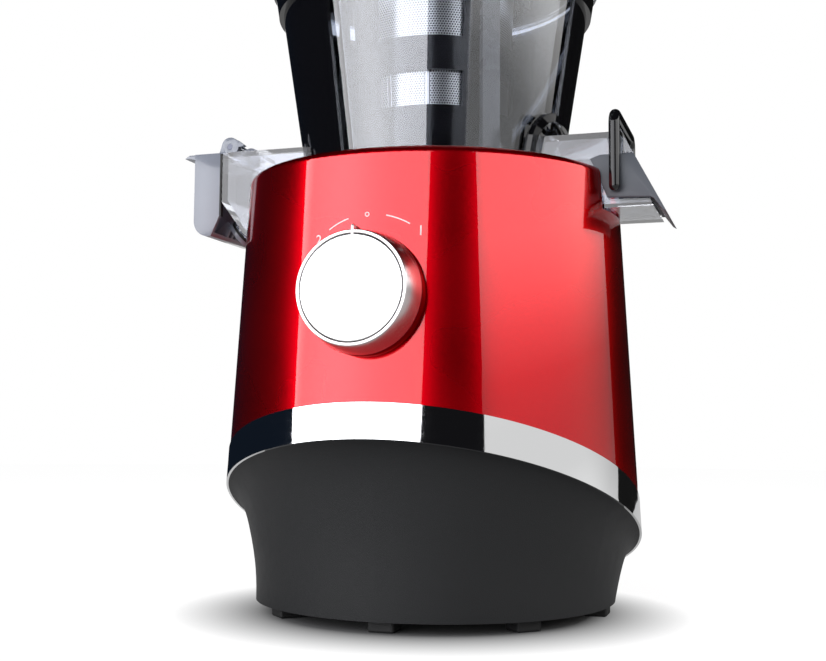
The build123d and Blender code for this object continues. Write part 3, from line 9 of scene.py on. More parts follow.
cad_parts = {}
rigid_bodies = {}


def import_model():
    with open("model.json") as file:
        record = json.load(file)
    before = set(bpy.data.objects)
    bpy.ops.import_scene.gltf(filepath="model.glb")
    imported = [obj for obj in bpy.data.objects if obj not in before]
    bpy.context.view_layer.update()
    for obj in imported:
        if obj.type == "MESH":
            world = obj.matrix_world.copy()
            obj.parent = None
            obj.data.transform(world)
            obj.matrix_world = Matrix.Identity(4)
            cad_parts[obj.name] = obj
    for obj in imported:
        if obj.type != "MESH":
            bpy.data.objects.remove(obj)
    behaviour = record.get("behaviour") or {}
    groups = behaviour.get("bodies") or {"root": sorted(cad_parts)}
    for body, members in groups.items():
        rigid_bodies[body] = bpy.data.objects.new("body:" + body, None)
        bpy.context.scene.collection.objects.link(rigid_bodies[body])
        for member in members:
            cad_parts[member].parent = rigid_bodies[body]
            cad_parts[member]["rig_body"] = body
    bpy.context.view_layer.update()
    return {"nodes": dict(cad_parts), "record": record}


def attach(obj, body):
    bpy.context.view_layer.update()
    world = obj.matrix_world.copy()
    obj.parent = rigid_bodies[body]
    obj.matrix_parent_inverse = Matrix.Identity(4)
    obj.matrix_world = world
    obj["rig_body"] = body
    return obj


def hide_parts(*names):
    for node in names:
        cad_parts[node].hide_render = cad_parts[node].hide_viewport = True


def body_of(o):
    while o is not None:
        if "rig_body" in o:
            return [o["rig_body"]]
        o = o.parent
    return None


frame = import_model()
nodes = frame["nodes"]
MM = 0.001
scene = bpy.context.scene

# ---------------------------------------------------------------- camera
VIEW_AZIMUTH = radians(17.0)
CAMERA_DISTANCE = 0.57595       # from the drive axis
CAMERA_HEIGHT = 0.08444
CAMERA_PAN = radians(0.969)
CAMERA_PITCH = radians(4.939)
CAMERA_ROLL = radians(0.435)
CAMERA_NEAR = 0.01
FOCAL_PIXELS = 1180.0
IMAGE_WIDTH = 826.0
SENSOR = 36.0

camera_data = bpy.data.cameras.new("studio_camera")
camera_data.sensor_width = SENSOR
camera_data.sensor_fit = "HORIZONTAL"
camera_data.lens = FOCAL_PIXELS * SENSOR / IMAGE_WIDTH
camera_data.clip_start = CAMERA_NEAR
camera = bpy.data.objects.new("studio_camera", camera_data)
scene.collection.objects.link(camera)
camera_spot = Vector((
    CAMERA_DISTANCE * sin(VIEW_AZIMUTH),
    -CAMERA_DISTANCE * cos(VIEW_AZIMUTH),
    CAMERA_HEIGHT))
camera.matrix_world = (
    Matrix.Translation(camera_spot)
    @ Matrix.Rotation(VIEW_AZIMUTH + CAMERA_PAN, 4, "Z")
    @ Matrix.Rotation(pi / 2 + CAMERA_PITCH, 4, "X")
    @ Matrix.Rotation(CAMERA_ROLL, 4, "Z"))
scene.camera = camera
scene.view_settings.view_transform = "Standard"

# ---------------------------------------------------------------- sizes shared with the solid model
BODY_TOP_R = 89.7 * MM          # body at its rim
RIM_Z = 205.2 * MM
BODY_SLOPE = 8.3 / 146.2        # growth of the body's radius per metre downwards
KNOB_Z = 141.0 * MM
KNOB_SKIRT_R = 26.0 * MM
KNOB_FACE_R = 23.0 * MM
KNOB_H = 20.0 * MM
KNOB_GAP = 0.5 * MM
STRAINER_R = 39.0 * MM
SLOT_LOW_Z = 237.0 * MM         # lower band of the strainer, with the pressed slots
SLOT_HIGH_Z = 253.5 * MM


def body_r(z):
    """Outer radius of the tapered body."""
    return BODY_TOP_R + (RIM_Z - z) * BODY_SLOPE


# ---------------------------------------------------------------- helpers for shader nodes
def join(tree, source, target):
    tree.links.new(source, target)


def give(tree, value, target):
    """Feed an input with a number or a socket."""
    if isinstance(value, (int, float)):
        target.default_value = value
    else:
        join(tree, value, target)


def new_group(name, inputs, outputs):
    """An empty shader group with named inputs (kind, name, value) and outputs (kind, name)."""
    group = bpy.data.node_groups.new(name, "ShaderNodeTree")
    for kind, label, value in inputs:
        socket = group.interface.new_socket(label, in_out="INPUT", socket_type="NodeSocket" + kind)
        socket.default_value = value
    for kind, label in outputs:
        group.interface.new_socket(label, in_out="OUTPUT", socket_type="NodeSocket" + kind)
    given = group.nodes.new("NodeGroupInput").outputs
    out = group.nodes.new("NodeGroupOutput").inputs
    return group, given, out


def math_node(tree, operation, *operands):
    """One Math node; each operand is a number or a socket. Returns its output."""
    made = tree.nodes.new("ShaderNodeMath")
    made.operation = operation
    for slot, value in enumerate(operands):
        give(tree, value, made.inputs[slot])
    return made.outputs[0]


def noise_node(tree, place, scale, detail=2.0):
    """Noise over the piece; scale is a number or a socket. Returns its factor."""
    made = tree.nodes.new("ShaderNodeTexNoise")
    made.inputs["Detail"].default_value = detail
    join(tree, place, made.inputs["Vector"])
    give(tree, scale, made.inputs["Scale"])
    return made.outputs["Fac"]


def spread(tree, value, low, high, out_low, out_high):
    """Map Range from low..high to out_low..out_high, clamped."""
    made = tree.nodes.new("ShaderNodeMapRange")
    join(tree, value, made.inputs["Value"])
    for label, number in (("From Min", low), ("From Max", high), ("To Min", out_low), ("To Max", out_high)):
        give(tree, number, made.inputs[label])
    return made.outputs["Result"]


def weighted(tree, first, second, share):
    """Two sockets added by weight; share is the second one's."""
    return math_node(
        tree, "ADD",
        math_node(tree, "MULTIPLY", first, 1 - share),
        math_node(tree, "MULTIPLY", second, share))


def root_of_squares(tree, first, second):
    """Distance whose two parts are sockets."""
    return math_node(tree, "SQRT", math_node(
        tree, "ADD",
        math_node(tree, "MULTIPLY", first, first),
        math_node(tree, "MULTIPLY", second, second)))


def scaled_color(tree, color, factor):
    """Colour times a changing factor."""
    made = tree.nodes.new("ShaderNodeVectorMath")
    made.operation = "SCALE"
    join(tree, color, made.inputs[0])
    join(tree, factor, made.inputs["Scale"])
    return made.outputs["Vector"]


def object_place(tree):
    return tree.nodes.new("ShaderNodeTexCoord").outputs["Object"]


def parts_of(tree, place):
    """X, Y and Z outputs of a place."""
    split = tree.nodes.new("ShaderNodeSeparateXYZ")
    join(tree, place, split.inputs[0])
    return split.outputs


def rolled_round(tree, place, across, along):
    """A place as its distance from an axis and its way along it, so that patterns make circles."""
    split = parts_of(tree, place)
    rolled = tree.nodes.new("ShaderNodeCombineXYZ")
    join(tree, root_of_squares(tree, split[across[0]], split[across[1]]), rolled.inputs["X"])
    join(tree, split[along], rolled.inputs["Y"])
    return rolled.outputs[0]


# ---------------------------------------------------------------- shader groups
NOISE_LOW = 0.36                # nearly all of a noise lies between these two
NOISE_HIGH = 0.64
CLOTH_MARKS = 19.0              # per metre: slow changes of sheen on moulded pieces
FINE_STREAKS = 160.0
ROLLING_MARKS = 30.0            # the same on turned metal
KNOB_MARKS = 60.0
PAINT_MARKS = 14.0


def sheen(group, pattern, given):
    """Roughness from Sheen Low to Sheen High, as a pattern rises."""
    return spread(group, pattern, NOISE_LOW, NOISE_HIGH, given["Sheen Low"], given["Sheen High"])


def make_moulded_grain():
    """Spark-eroded grain, sheen that changes where hands and cloths have been, slight drift of colour."""
    group, given, out = new_group(
        "moulded_grain",
        [("Color", "Colour", (0.5, 0.5, 0.5, 1.0)), ("Float", "Grain per Metre", 1400.0),
         ("Float", "Sheen Low", 0.4), ("Float", "Sheen High", 0.5), ("Float", "Colour Drift", 0.08)],
        [("Color", "Colour"), ("Float", "Roughness"), ("Float", "Height")])
    place = object_place(group)
    grain = noise_node(group, place, given["Grain per Metre"], detail=3.0)
    marks = noise_node(group, place, CLOTH_MARKS, detail=3.0)
    streaks = noise_node(group, place, FINE_STREAKS, detail=4.0)
    wear = weighted(group, marks, streaks, share=0.25)
    drift = math_node(group, "SUBTRACT", wear, 0.5)
    drift = math_node(group, "MULTIPLY", drift, given["Colour Drift"])
    drift = math_node(group, "MULTIPLY_ADD", drift, 2.0, 1.0)
    join(group, scaled_color(group, given["Colour"], drift), out["Colour"])
    join(group, sheen(group, wear, given), out["Roughness"])
    join(group, grain, out["Height"])
    return group


def make_turned_lines():
    """Lines left by turning or rolling round the upright axis, with slow changes of sheen."""
    group, given, out = new_group(
        "turned_lines",
        [("Float", "Lines per Metre", 2500.0), ("Float", "Sheen Low", 0.2), ("Float", "Sheen High", 0.3)],
        [("Float", "Roughness"), ("Float", "Height")])
    place = object_place(group)
    lines = noise_node(group, rolled_round(group, place, "XY", "Z"), given["Lines per Metre"])
    marks = noise_node(group, place, ROLLING_MARKS, detail=3.0)
    join(group, sheen(group, weighted(group, marks, lines, share=0.3), given), out["Roughness"])
    join(group, lines, out["Height"])
    return group


def make_spun_face():
    """Fine circles round the knob's own axis."""
    group, given, out = new_group(
        "spun_face",
        [("Vector", "Centre", (0.0, 0.0, 0.0)), ("Float", "Circles per Metre", 3000.0),
         ("Float", "Sheen Low", 0.2), ("Float", "Sheen High", 0.3)],
        [("Float", "Roughness"), ("Float", "Height")])
    place = object_place(group)
    offset = group.nodes.new("ShaderNodeVectorMath")
    offset.operation = "SUBTRACT"
    join(group, place, offset.inputs[0])
    join(group, given["Centre"], offset.inputs[1])
    rolled = rolled_round(group, offset.outputs["Vector"], "XZ", "Y")
    circles = noise_node(group, rolled, given["Circles per Metre"])
    marks = noise_node(group, place, KNOB_MARKS)
    join(group, sheen(group, weighted(group, marks, circles, share=0.5), given), out["Roughness"])
    join(group, circles, out["Height"])
    return group


def make_paint_flake():
    """Metal flakes under the clear coat: each tiny cell is a little lighter or darker."""
    group, given, out = new_group(
        "paint_flake",
        [("Color", "Colour", (0.5, 0.0, 0.0, 1.0)), ("Float", "Flakes per Metre", 5200.0),
         ("Float", "Contrast", 0.3), ("Float", "Sheen Low", 0.25), ("Float", "Sheen High", 0.3)],
        [("Color", "Colour"), ("Float", "Roughness"), ("Float", "Height")])
    place = object_place(group)
    cells = group.nodes.new("ShaderNodeTexVoronoi")
    join(group, place, cells.inputs["Vector"])
    join(group, given["Flakes per Metre"], cells.inputs["Scale"])
    flakes = group.nodes.new("ShaderNodeSeparateColor")
    join(group, cells.outputs["Color"], flakes.inputs[0])
    brightness, tilt = flakes.outputs[0], flakes.outputs[1]
    twinkle = math_node(group, "SUBTRACT", brightness, 0.5)
    twinkle = math_node(group, "MULTIPLY", twinkle, given["Contrast"])
    twinkle = math_node(group, "ADD", twinkle, 1.0)
    marks = noise_node(group, place, PAINT_MARKS)
    join(group, scaled_color(group, given["Colour"], twinkle), out["Colour"])
    join(group, sheen(group, marks, given), out["Roughness"])
    join(group, tilt, out["Height"])
    return group


SIEVE_PITCH = 1.3 * MM
HOLE_SHARE = 0.34               # hole's radius, as a share of the pitch
HOLE_EDGE = 0.04                # soft edge of a hole, as a share of the pitch
ROW_STEP = 0.866                # rows of a staggered pattern, as a share of the pitch
SLOT_COUNT = 12
SLOT_TURN = 11.8                # degrees from the knob's side to the first pressed slot
SLOT_HALF_W = 0.055             # of the slots' own pitch
SLOT_LINE = (0.008, 0.02)       # half width of the pressed line, full and faded out
SLOT_CLEAR = 0.015              # plain metal beside a slot
SLOT_END = 0.4 * MM
# painted shade: how dark the pressed slots' outlines are made, as shade in their creases
SLOT_PAINTED_SHADE = 0.8
WHOLE_TURNS = 1000.0            # keeps the rolled-out coordinate above zero


def make_sieve_holes():
    """Staggered round holes in a sheet rolled round the upright axis, with pressed slots low down; the
    holes and the slots' outlines come out dark, painted shade for the inside seen through the holes and for
    the slots' creases.
    """
    group, given, out = new_group(
        "sieve_holes",
        [("Float", "Radius", STRAINER_R), ("Float", "Pitch", SIEVE_PITCH),
         ("Float", "Hole Share", HOLE_SHARE),
         ("Float", "Slot Low", SLOT_LOW_Z), ("Float", "Slot High", SLOT_HIGH_Z)],
        [("Float", "Holes and Slots in Painted Shade"), ("Float", "Height")])
    split = parts_of(group, object_place(group))
    angle = math_node(group, "ARCTAN2", split["X"], math_node(group, "MULTIPLY", split["Y"], -1.0))

    # round holes: every second row is moved by half a pitch
    row_height = math_node(group, "MULTIPLY", given["Pitch"], ROW_STEP)
    rows = math_node(group, "DIVIDE", split["Z"], row_height)
    second_row = math_node(group, "FLOORED_MODULO", math_node(group, "FLOOR", rows), 2.0)
    shift = math_node(group, "MULTIPLY", second_row, 0.5)
    unrolled = math_node(group, "MULTIPLY", angle, given["Radius"])
    along = math_node(group, "ADD", math_node(group, "DIVIDE", unrolled, given["Pitch"]), shift)
    along = math_node(group, "FRACT", math_node(group, "ADD", along, WHOLE_TURNS))
    along = math_node(group, "SUBTRACT", along, 0.5)
    across = math_node(group, "SUBTRACT", math_node(group, "FRACT", rows), 0.5)
    across = math_node(group, "MULTIPLY", across, ROW_STEP)
    hole = spread(
        group, root_of_squares(group, along, across),
        math_node(group, "SUBTRACT", given["Hole Share"], HOLE_EDGE), given["Hole Share"], 1.0, 0.0)

    # pressed slots: each is a thin upright loop with plain metal round it; the loop is darkened as painted
    # shade in the crease
    first_slot = 2 * SLOT_COUNT + 0.5 - SLOT_TURN * SLOT_COUNT / 360
    turn = math_node(group, "ADD", math_node(group, "MULTIPLY", angle, SLOT_COUNT / (2 * pi)), first_slot)
    aside = math_node(group, "ABSOLUTE", math_node(group, "SUBTRACT", math_node(group, "FRACT", turn), 0.5))
    loop = math_node(group, "ABSOLUTE", math_node(group, "SUBTRACT", aside, SLOT_HALF_W))
    line = spread(group, loop, *SLOT_LINE, 1.0, 0.0)
    low_end = math_node(group, "ADD", given["Slot Low"], SLOT_END)
    high_end = math_node(group, "SUBTRACT", given["Slot High"], SLOT_END)
    band = math_node(
        group, "MULTIPLY",
        spread(group, split["Z"], given["Slot Low"], low_end, 0.0, 1.0),
        spread(group, split["Z"], high_end, given["Slot High"], 1.0, 0.0))
    slot = math_node(group, "MULTIPLY", line, band)
    beside = spread(group, aside, SLOT_HALF_W, SLOT_HALF_W + SLOT_CLEAR, 1.0, 0.0)
    plain = math_node(group, "MULTIPLY", beside, band)

    hole = math_node(group, "MULTIPLY", hole, math_node(group, "SUBTRACT", 1.0, plain))
    # painted shade: holes and slot lines together make the dark mask
    marks = math_node(group, "MAXIMUM", hole, math_node(group, "MULTIPLY", slot, SLOT_PAINTED_SHADE))
    join(group, marks, out["Holes and Slots in Painted Shade"])
    join(group, math_node(group, "SUBTRACT", 1.0, marks), out["Height"])
    return group


MOULDED_GRAIN = make_moulded_grain()
TURNED_LINES = make_turned_lines()
SPUN_FACE = make_spun_face()
PAINT_FLAKE = make_paint_flake()
SIEVE_HOLES = make_sieve_holes()

# ---------------------------------------------------------------- materials
# each relief is (strength, depth)
NO_RELIEF = (0.0, 0.01 * MM)
POLISHED_RELIEF = (0.01, 0.01 * MM)
FLAKE_RELIEF = (0.06, 0.02 * MM)
SPUN_RELIEF = (0.12, 0.02 * MM)
TURNED_RELIEF = (0.15, 0.02 * MM)
MOULDED_RELIEF = (0.25, 0.04 * MM)
SIEVE_RELIEF = (0.6, 0.2 * MM)
KNOB_CIRCLES = 4200.0           # per metre
CLEAR_IOR = 1.04                # hardly any bending


def finish(name, group, values, relief, **sockets):
    """A Principled material whose changing values come from one group."""
    made = bpy.data.materials.new(name)
    made.use_nodes = True
    tree = made.node_tree
    shader = tree.nodes["Principled BSDF"]
    for label, value in sockets.items():
        shader.inputs[label.replace("_", " ")].default_value = value
    pattern = tree.nodes.new("ShaderNodeGroup")
    pattern.node_tree = group
    for label, value in values.items():
        pattern.inputs[label].default_value = value
    for output, socket in (("Colour", "Base Color"), ("Roughness", "Roughness")):
        if output in pattern.outputs:
            join(tree, pattern.outputs[output], shader.inputs[socket])
    bump = tree.nodes.new("ShaderNodeBump")
    bump.inputs["Strength"].default_value, bump.inputs["Distance"].default_value = relief
    join(tree, pattern.outputs["Height"], bump.inputs["Height"])
    join(tree, bump.outputs["Normal"], shader.inputs["Normal"])
    return made


def moulded(name, color, low, high, grain=1400.0, relief=MOULDED_RELIEF, drift=0.1, **sockets):
    """Moulded plastic or rubber, its sheen between low and high."""
    values = {
        "Colour": (*color, 1.0), "Grain per Metre": grain, "Sheen Low": low, "Sheen High": high,
        "Colour Drift": drift}
    return finish(name, MOULDED_GRAIN, values, relief, **sockets)


def clear(name, color, coat_ior, **sockets):
    """Thin clear plastic: it hardly bends what lies behind it, and its surface mirrors the room."""
    return moulded(
        name, color, 0.0, 0.0, 300.0, NO_RELIEF, 0.02, Transmission_Weight=1.0, IOR=CLEAR_IOR,
        Coat_Weight=1.0, Coat_Roughness=0.0, Coat_IOR=coat_ior, **sockets)


def turned(name, color, low, high, lines=2500.0, relief=TURNED_RELIEF):
    """Turned, rolled or ground metal."""
    values = {"Lines per Metre": lines, "Sheen Low": low, "Sheen High": high}
    return finish(name, TURNED_LINES, values, relief, Base_Color=(*color, 1.0), Metallic=1.0)


def spun(name, color, low, high):
    """Metal spun round the knob's axis."""
    values = {
        "Centre": (0.0, 0.0, KNOB_Z), "Circles per Metre": KNOB_CIRCLES,
        "Sheen Low": low, "Sheen High": high}
    return finish(name, SPUN_FACE, values, SPUN_RELIEF, Base_Color=(*color, 1.0), Metallic=1.0)


def make_candy_red():
    values = {
        "Colour": (0.62, 0.0004, 0.006, 1.0), "Flakes per Metre": 5200.0, "Contrast": 0.22,
        "Sheen Low": 0.25, "Sheen High": 0.3}
    return finish(
        "candy_red", PAINT_FLAKE, values, FLAKE_RELIEF, Metallic=0.95, Specular_Tint=(1.0, 0.0, 0.02, 1.0),
        Coat_Weight=1.0, Coat_Roughness=0.015, Coat_IOR=1.55)


def make_sieve_steel():
    """Perforated sheet: bright steel, with its holes and slot lines painted dark as the shade inside them.
    """
    made = finish("sieve_steel", SIEVE_HOLES, {}, SIEVE_RELIEF, Roughness=0.3, Metallic=1.0)
    tree = made.node_tree
    pattern = next(node for node in tree.nodes if node.type == "GROUP")
    color = tree.nodes.new("ShaderNodeMix")
    color.data_type = "RGBA"
    color.inputs["A"].default_value = (0.7, 0.7, 0.71, 1.0)
    # painted shade: the dark colour given to holes and slot lines
    color.inputs["B"].default_value = (0.02, 0.02, 0.022, 1.0)
    join(tree, pattern.outputs["Holes and Slots in Painted Shade"], color.inputs["Factor"])
    join(tree, color.outputs["Result"], tree.nodes["Principled BSDF"].inputs["Base Color"])
    return made


finishes = {
    "charcoal_plastic": moulded(
        "matte_charcoal", (0.013, 0.0135, 0.0145), 0.5, 0.62, 2600.0, (0.6, 0.12 * MM), 0.3,
        Specular_IOR_Level=0.32),
    "black_plastic": moulded("moulded_black", (0.012, 0.012, 0.013), 0.42, 0.55),
    "screw_steel": turned("zinc_screw", (0.5, 0.5, 0.5), 0.28, 0.42),
    "black_rubber": moulded(
        "soft_black_rubber", (0.012, 0.012, 0.012), 0.6, 0.78, 900.0, (0.5, 0.08 * MM), 0.3),
    "chrome_trim": turned("mirror_chrome", (0.93, 0.935, 0.94), 0.02, 0.06, 400.0, POLISHED_RELIEF),
    "red_metallic": make_candy_red(),
    "deck_plastic": moulded("deck_red", (0.09, 0.001, 0.004), 0.16, 0.28, Coat_Weight=0.6),
    "zinc_steel": turned("zinc_sheet", (0.5, 0.5, 0.52), 0.3, 0.45),
    "lamination_steel": turned("laminations", (0.3, 0.3, 0.32), 0.35, 0.5, 2000.0, (0.8, 0.08 * MM)),
    "copper_wire": turned("enamelled_copper", (0.6, 0.25, 0.08), 0.22, 0.4, 1800.0, (0.8, 0.2 * MM)),
    "bearing_steel": turned("ground_steel", (0.6, 0.6, 0.62), 0.12, 0.24),
    "cast_metal": moulded(
        "cast_alloy", (0.5, 0.5, 0.52), 0.42, 0.6, 1800.0, (0.6, 0.1 * MM), Metallic=1.0),
    "gear_steel": turned("machined_steel", (0.45, 0.45, 0.47), 0.24, 0.4),
    "board_green": moulded("circuit_board", (0.015, 0.12, 0.045), 0.3, 0.45, 900.0),
    "satin_metal": spun("satin_knob", (0.66, 0.62, 0.62), 0.18, 0.28),
    "bright_metal": spun("bright_disc", (0.92, 0.92, 0.92), 0.22, 0.34),
    "clear_smoke": clear("smoked_clear", (0.93, 0.94, 0.96), 1.8, Coat_Tint=(0.97, 0.98, 1.0, 1.0)),
    "pin_steel": turned("polished_pin", (0.1, 0.105, 0.13), 0.2, 0.35),
    "black_silicone": moulded("black_silicone", (0.01, 0.01, 0.01), 0.5, 0.65, 1200.0),
    "black_gloss": moulded("piano_black", (0.004, 0.004, 0.005), 0.03, 0.09, 200.0, POLISHED_RELIEF),
    "grey_strainer": moulded("strainer_black", (0.006, 0.006, 0.008), 0.12, 0.2, 700.0, NO_RELIEF),
    "mesh_steel": make_sieve_steel(),
    "auger_grey": moulded("auger_plastic", (0.02, 0.02, 0.022), 0.28, 0.42),
    "coupling_steel": turned("coupling_steel", (0.55, 0.55, 0.56), 0.24, 0.36),
    "white_gear": moulded("white_nylon", (0.68, 0.68, 0.66), 0.4, 0.55),
    "wiper_grey": moulded("wiper_plastic", (0.05, 0.052, 0.058), 0.2, 0.32),
    "cap_grey": moulded(
        "cap_plastic", (0.25, 0.27, 0.32), 0.12, 0.24, 900.0, (0.08, 0.03 * MM), Coat_Weight=0.4),
    "gate_grey": moulded("gate_plastic", (0.09, 0.1, 0.12), 0.36, 0.5, 2200.0, (0.4, 0.04 * MM)),
    "pusher_grey": moulded("pusher_plastic", (0.2, 0.21, 0.23), 0.2, 0.34),
}
smoked_duct = clear("smoked_duct", (0.72, 0.74, 0.8), 1.7)
# painted shade: the collar's red is a darker copy of the body's red, so that the collar reads shaded
collar_red_painted_shade = moulded(
    "collar_red_painted_shade", (0.2, 0.002, 0.008), 0.2, 0.3, Metallic=0.9, Specular_Tint=(0.8, 0.1, 0.12, 1.0))
printed_white = moulded("printed_white", (0.82, 0.82, 0.82), 0.35, 0.5, 4000.0, (0.3, 0.01 * MM))

slots = {part["node"]: part["material_slot"] for part in frame["record"]["subparts"]}
for name, piece in nodes.items():
    piece.data.materials.clear()
    piece.data.materials.append(finishes[slots[name]])
for name in ("juice_spout", "pulp_spout"):
    nodes[name].data.materials[0] = smoked_duct

# ---------------------------------------------------------------- modelling helpers
BEVEL_FROM = radians(28)        # edges sharper than this are rounded
SMOOTH_UP_TO = radians(35)
FACING = 0.9                    # cosine above which a face looks along an axis


def select_none():
    for piece in bpy.context.selected_objects:
        piece.select_set(False)


def select_only(piece):
    select_none()
    piece.select_set(True)
    bpy.context.view_layer.objects.active = piece


def added():
    """The object that the last operator made."""
    return bpy.context.object


def edit_faces(piece, wanted):
    """Edit mode with only the faces that wanted(face) picks."""
    bpy.ops.object.mode_set(mode="EDIT")
    bpy.ops.mesh.select_mode(type="FACE")
    bpy.ops.mesh.select_all(action="DESELECT")
    mesh = bmesh.from_edit_mesh(piece.data)
    for face in mesh.faces:
        face.select_set(wanted(face))
    bmesh.update_edit_mesh(piece.data)


def edit_all():
    bpy.ops.object.mode_set(mode="EDIT")
    bpy.ops.mesh.select_all(action="SELECT")


def object_mode():
    bpy.ops.object.mode_set(mode="OBJECT")


def facing_front(face):
    return face.normal.z > FACING


def facing_back(face):
    return face.normal.z < -FACING


def put(piece, place):
    """Move a piece into its place in the frame, with the place in its mesh."""
    piece.matrix_world = place @ piece.matrix_world
    select_only(piece)
    bpy.ops.object.transform_apply(location=True, rotation=True, scale=True)


def soften(piece, width, segments=2):
    """Rounded edges and smooth shading."""
    select_only(piece)
    modifier = piece.modifiers.new("edges", "BEVEL")
    modifier.width = width
    modifier.segments = segments
    modifier.limit_method = "ANGLE"
    modifier.angle_limit = BEVEL_FROM
    bpy.ops.object.modifier_apply(modifier="edges")
    bpy.ops.object.shade_smooth_by_angle(angle=SMOOTH_UP_TO)


def settle(piece, name, material, body):
    """Name a finished piece, give it its finish, and let it ride."""
    piece.name = name
    piece.data.name = name
    piece.data.materials.clear()
    piece.data.materials.append(material)
    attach(piece, body)


# ---------------------------------------------------------------- control knob
KNOB_TILT = atan(BODY_SLOPE)
KNOB_PLACE = Matrix.Translation((0, -body_r(KNOB_Z), KNOB_Z)) @ Matrix.Rotation(pi / 2 - KNOB_TILT, 4, "X")
KNOB_SIDES = 128
KNOB_RIM_R = 23.8 * MM          # front edge of the skirt
STEP_SLOPE = 0.1 * MM           # how far the wall of a step leans in
RIM_FLAT = 1.6 * MM
SEAT_DEPTH = 1.1 * MM           # seat of the disc
HOLLOW_WALL = 0.9 * MM          # wall round the hollow back of the skirt
HOLLOW_DEPTH = 2.0 * MM
FIN_W = 1.5 * MM                # pointer's fin
FIN_IN = 1.5 * MM
FIN_SHORT = 0.2 * MM
FIN_TAPER = 0.7
FIN_EDGE = 0.25 * MM
GRIP_EDGE = 0.35 * MM

COLLAR_H = 6.6 * MM
COLLAR_SEAM = 0.3 * MM          # between the collar and the skirt
COLLAR_FLAT = 0.5 * MM
COLLAR_WALL = 1.2 * MM
COLLAR_HOLLOW = 1.0 * MM
COLLAR_EDGE = 0.15 * MM

GROOVE_W = 0.3 * MM             # between the rim and the disc
DISC_R = KNOB_RIM_R - RIM_FLAT - GROOVE_W
DISC_T = 0.8 * MM
DISC_SUNK = 0.15 * MM
DISC_SHOULDER_W = 0.5 * MM
DISC_SHOULDER_H = 0.12 * MM
DISC_CROWN_W = 10.0 * MM
DISC_CROWN_H = 0.04 * MM
DISC_EDGE = 0.12 * MM


def drum(radius, low, high):
    """A cylinder on the knob's axis, from low to high above the body."""
    select_none()
    bpy.ops.mesh.primitive_cylinder_add(
        vertices=KNOB_SIDES, radius=radius, depth=high - low, location=(0, 0, (low + high) / 2))
    return added()


def inset(width, rise):
    bpy.ops.mesh.inset(thickness=width, depth=rise)


def make_fin(foot):
    """Pointer that runs down the skirt."""
    low = KNOB_FACE_R - FIN_IN
    select_none()
    bpy.ops.mesh.primitive_cube_add(
        size=1.0, location=(0, (KNOB_SKIRT_R + low) / 2, (KNOB_H + foot) / 2),
        scale=(FIN_W, KNOB_SKIRT_R - low, KNOB_H - foot - FIN_SHORT))
    fin = added()
    bpy.ops.object.transform_apply(location=False, rotation=False, scale=True)
    edit_faces(fin, lambda face: face.normal.y > FACING)
    bpy.ops.transform.resize(value=(FIN_TAPER, 1.0, 1.0))
    object_mode()
    soften(fin, FIN_EDGE)
    return fin


def make_knob_grip():
    """Tapered skirt with a raised rim, a hollow back and the pointer's fin."""
    foot = COLLAR_H + COLLAR_SEAM
    grip = drum(KNOB_SKIRT_R, foot, KNOB_H)
    edit_faces(grip, facing_front)
    bpy.ops.transform.resize(value=(KNOB_RIM_R / KNOB_SKIRT_R, KNOB_RIM_R / KNOB_SKIRT_R, 1.0))
    inset(RIM_FLAT, 0.0)
    inset(STEP_SLOPE, -SEAT_DEPTH)
    object_mode()
    edit_faces(grip, facing_back)
    inset(HOLLOW_WALL, 0.0)
    inset(STEP_SLOPE, -HOLLOW_DEPTH)
    object_mode()
    fin = make_fin(foot)
    soften(grip, GRIP_EDGE, segments=3)
    grip.select_set(True)
    fin.select_set(True)
    bpy.context.view_layer.objects.active = grip
    bpy.ops.object.join()
    put(grip, KNOB_PLACE)
    settle(grip, "knob_grip", finishes["satin_metal"], "knob")
    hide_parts("knob_body")


def make_knob_collar():
    """Painted collar between the skirt and the body; its red is darker than the body's, as painted shade.
    """
    collar = drum(KNOB_SKIRT_R, KNOB_GAP, COLLAR_H)
    edit_faces(collar, facing_front)
    inset(COLLAR_FLAT, 0.0)
    inset(STEP_SLOPE, COLLAR_SEAM)
    object_mode()
    edit_faces(collar, facing_back)
    inset(COLLAR_WALL, 0.0)
    inset(STEP_SLOPE, -COLLAR_HOLLOW)
    object_mode()
    soften(collar, COLLAR_EDGE)
    put(collar, KNOB_PLACE)
    settle(collar, "knob_collar", collar_red_painted_shade, "knob")


def make_knob_disc():
    """Slightly crowned disc in the skirt's seat."""
    disc = drum(DISC_R, KNOB_H - DISC_SUNK - DISC_T, KNOB_H - DISC_SUNK)
    edit_faces(disc, facing_front)
    inset(DISC_SHOULDER_W, DISC_SHOULDER_H)
    inset(DISC_CROWN_W, DISC_CROWN_H)
    object_mode()
    soften(disc, DISC_EDGE)
    put(disc, KNOB_PLACE)
    settle(disc, "knob_disc", finishes["bright_metal"], "knob")
    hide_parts("knob_face")


make_knob_grip()
make_knob_collar()
make_knob_disc()

# ---------------------------------------------------------------- marks printed round the knob
MARK_R = 34.6 * MM
MARK_LIFT = 0.06 * MM
INK_T = 0.04 * MM
ARC_W = 0.5 * MM
ARC_SIDES = 240
DIGIT_H = 6.0 * MM
RING_R = 0.85 * MM              # small ring at the off position
RING_W = 0.35 * MM
RING_AT = -2.0


def round_dial(angle):
    """Place on the marks' circle; angles in degrees clockwise from the top."""
    return Vector((MARK_R * sin(radians(angle)), MARK_R * cos(radians(angle)), 0.0))


def print_on_body(piece, name):
    """Lay a flat mark, drawn in the XY plane round the knob's centre, on the body's wall."""
    put(piece, Matrix.Translation((0, 0, KNOB_Z)) @ Matrix.Rotation(pi / 2, 4, "X"))
    for vertex in piece.data.vertices:
        x, _, z = vertex.co
        vertex.co.y = -sqrt(body_r(z) ** 2 - x * x) - MARK_LIFT
    thick = piece.modifiers.new("ink", "SOLIDIFY")
    thick.thickness = INK_T
    thick.offset = -1.0
    bpy.ops.object.modifier_apply(modifier="ink")
    settle(piece, name, printed_white, "base")


